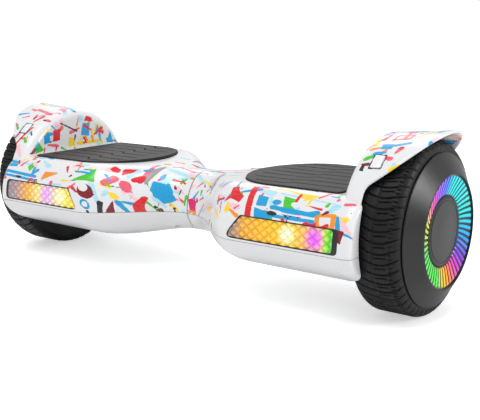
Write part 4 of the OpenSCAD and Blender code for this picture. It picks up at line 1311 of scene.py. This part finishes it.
class HOVERBOARD_OT_wheels(bpy.types.Operator):
    """Build the tyres, hub covers, light rings and hub caps"""

    bl_idname = "hoverboard.wheels"
    bl_label = "Wheels"
    bl_options = {"REGISTER", "UNDO"}

    def execute(self, context):
        s, c = sizes(), colours()
        rubber = moulded("Tyre rubber", c.rubber, 0.48, 800.0, 0.00004, 0.15, 0.03, **{"Specular IOR Level": 0.3})
        satin = moulded("Hub plastic", c.hub, 0.34, 1000.0, 0.00002, 0.06, 0.03, **{"Specular IOR Level": 0.4})
        glow = ring_material()
        for name, side in SIDES.items():
            for build, label, finish, slot, node in (
                    (tyre, "tread", rubber, "tyre", "tyre"), (hub_cover, "hub_face", satin, "hub_plastic", "hub_cover"),
                    (light_ring, "glow_ring", glow, "light_ring", "led_ring"), (hub_cap, "centre_cap", satin, "hub_plastic", "hub_cap")):
                dress(named(mirrored(build(side, s), side), name, label), finish, name + "_wheel", slot, name + "_" + node)
        return {"FINISHED"}


def ring_material():
    """Translucent bars over a dark dish, lit in a circle of colours."""
    gloss = {"Coat Weight": 0.15, "Coat Roughness": 0.04, "Specular IOR Level": 0.3}
    material, n, shader = new_material("Light ring", 0.16, **gloss)
    place = n.place()
    y, z = (n.node("ShaderNodeSeparateXYZ", {0: place}).outputs[i] for i in (1, 2))
    level = n.math("SUBTRACT", z, AXLE_Z * MM)
    turn = n.math("ADD", n.math("DIVIDE", n.math("ARCTAN2", y, level), 2 * math.pi), 0.5)
    radius = n.math("SQRT", n.math("ADD", n.math("MULTIPLY", y, y), n.math("MULTIPLY", level, level)))
    share = n.step(radius, 0.034, 0.054, 1.0, 0.0)
    bars = n.math("ABSOLUTE", n.math("SUBTRACT", n.math("FRACT", n.math("MULTIPLY", n.math("ADD", n.math(
        "SUBTRACT", turn, 0.5), n.math("MULTIPLY", share, 0.10 / (2 * math.pi))), 50.0)), 0.5))
    lit = n.step(bars, 0.30, 0.24)
    inside = n.math("MULTIPLY", n.step(share, 0.03, 0.08), n.step(share, 0.97, 0.92))
    lit = n.math("MULTIPLY", lit, inside)
    colours_round = n.ramp(turn, RING_COLOURS)
    n.tree.links.new(n.mix(lit, (0.03, 0.03, 0.035, 1), colours_round), shader.inputs["Base Color"])
    n.tree.links.new(n.mix(lit, (0.0, 0.0, 0.0, 1), colours_round), shader.inputs["Emission Color"])
    shader.inputs["Emission Strength"].default_value = 0.5
    return material


# Colours round the ring, from the bottom through the front, the top and the rear back to the bottom
RING_COLOURS = [
    (0.0, (0.90, 0.42, 0.0)), (0.06, (0.04, 0.58, 0.04)), (0.2, (0.03, 0.60, 0.04)), (0.29, (0.62, 0.70, 0.0)),
    (0.36, (0.80, 0.05, 0.30)), (0.43, (0.28, 0.04, 0.75)), (0.49, (0.03, 0.14, 0.80)), (0.53, (0.0, 0.62, 0.66)),
    (0.7, (0.0, 0.60, 0.58)), (0.8, (0.0, 0.25, 0.78)), (0.86, (0.14, 0.03, 0.75)), (0.92, (0.68, 0.02, 0.45)),
    (0.97, (0.90, 0.20, 0.01)), (1.0, (0.90, 0.42, 0.0)),
]


class HOVERBOARD_OT_trim(bpy.types.Operator):
    """Build the grey leaves on the shoulders of the waist"""

    bl_idname = "hoverboard.trim"
    bl_label = "Trim"
    bl_options = {"REGISTER", "UNDO"}

    def execute(self, context):
        s, c = sizes(), colours()
        finish = moulded("Grey trim", c.trim, 0.32, 1200.0, 0.00001, 0.05, 0.05)
        for name, side in SIDES.items():
            dress(named(mirrored(trim_strips(side, s), side), name, "leaf_trim"), finish,
                  name + "_half", "grey_trim", name + "_trim_strips")
        return {"FINISHED"}


class HOVERBOARD_OT_inner_parts(bpy.types.Operator):
    """Give every remaining frame part its finish"""

    bl_idname = "hoverboard.inner_parts"
    bl_label = "Inner parts"
    bl_options = {"REGISTER", "UNDO"}

    def execute(self, context):
        c = colours()
        finishes = {
            "cast_aluminium": moulded("Cast aluminium", (0.60, 0.61, 0.63), 0.45, 500.0, 0.00008, 0.12, 0.1, Metallic=1.0),
            "dark_steel": moulded("Dark steel", (0.10, 0.10, 0.11), 0.38, 900.0, 0.00003, 0.1, 0.1, Metallic=1.0),
            "bright_steel": moulded("Ground steel", (0.68, 0.69, 0.71), 0.24, 1200.0, 0.00002, 0.06, 0.05, Metallic=1.0),
            "motor_core": moulded("Copper windings", (0.62, 0.26, 0.12), 0.42, 1500.0, 0.0001, 0.2, 0.0, Metallic=0.8),
            "circuit_board": moulded("Circuit board", (0.03, 0.16, 0.07), 0.4, 500.0, 0.00005, 0.3, 0.1),
            "black_plastic": moulded("Black plastic", (0.02, 0.02, 0.022), 0.42, 1000.0, 0.00003, 0.1, 0.12),
            "cable_rubber": moulded("Cable rubber", (0.02, 0.02, 0.02), 0.55, 900.0, 0.00003, 0.1, 0.1),
            "cap_rubber": moulded("Cap rubber", (0.035, 0.035, 0.037), 0.6, 800.0, 0.00005, 0.12, 0.15),
            "brass": moulded("Brass", (0.72, 0.50, 0.20), 0.28, 1200.0, 0.00002, 0.08, 0.05, Metallic=1.0),
            "battery_wrap": moulded("Battery wrap", (0.03, 0.10, 0.35), 0.35, 300.0, 0.0001, 0.1, 0.05),
            "red_button": moulded("Red button", (0.55, 0.02, 0.02), 0.3, 1000.0, 0.00002, 0.06, 0.05),
            "hub_plastic": moulded("Dark plastic", c.hub, 0.34, 1000.0, 0.00002, 0.06, 0.08),
        }
        for part in frame["record"]["subparts"]:
            obj = frame["nodes"][part["node"]]
            # Parts that a detailed piece stands for keep a plain finish under it
            finish = finishes.get(part["material_slot"], finishes["black_plastic"])
            obj.data.materials.clear()
            obj.data.materials.append(finish)
        return {"FINISHED"}


class HOVERBOARD_PT_panel(bpy.types.Panel):
    """Sizes, colours and the buttons that build each group of pieces"""

    bl_label = "Hoverboard"
    bl_space_type = "VIEW_3D"
    bl_region_type = "UI"
    bl_category = "Hoverboard"

    def draw(self, context):
        for group_name, kind in (("hoverboard_sizes", HoverboardSizes), ("hoverboard_colours", HoverboardColours)):
            column = self.layout.column(align=True)
            for key in kind.__annotations__:
                column.prop(getattr(context.scene, group_name), key)
        for operator in OPERATORS:
            self.layout.operator(operator.bl_idname)


OPERATORS = (
    HOVERBOARD_OT_stage,
    HOVERBOARD_OT_inner_parts,
    HOVERBOARD_OT_covers,
    HOVERBOARD_OT_lamps,
    HOVERBOARD_OT_pads,
    HOVERBOARD_OT_wheels,
    HOVERBOARD_OT_trim,
)


def register():
    for kind in (HoverboardSizes, HoverboardColours, HOVERBOARD_PT_panel, *OPERATORS):
        bpy.utils.register_class(kind)
    bpy.types.Scene.hoverboard_sizes = bpy.props.PointerProperty(type=HoverboardSizes)
    bpy.types.Scene.hoverboard_colours = bpy.props.PointerProperty(type=HoverboardColours)


def unregister():
    del bpy.types.Scene.hoverboard_colours, bpy.types.Scene.hoverboard_sizes
    for kind in (*OPERATORS[::-1], HOVERBOARD_PT_panel, HoverboardColours, HoverboardSizes):
        bpy.utils.unregister_class(kind)


def main():
    register()
    build_groups()
    for operator in OPERATORS:
        if getattr(bpy.ops.hoverboard, operator.bl_idname.split(".")[1])() != {"FINISHED"}:
            raise RuntimeError(operator.bl_label + " could not be built")
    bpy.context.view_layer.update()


if __name__ == "__main__":
    main()
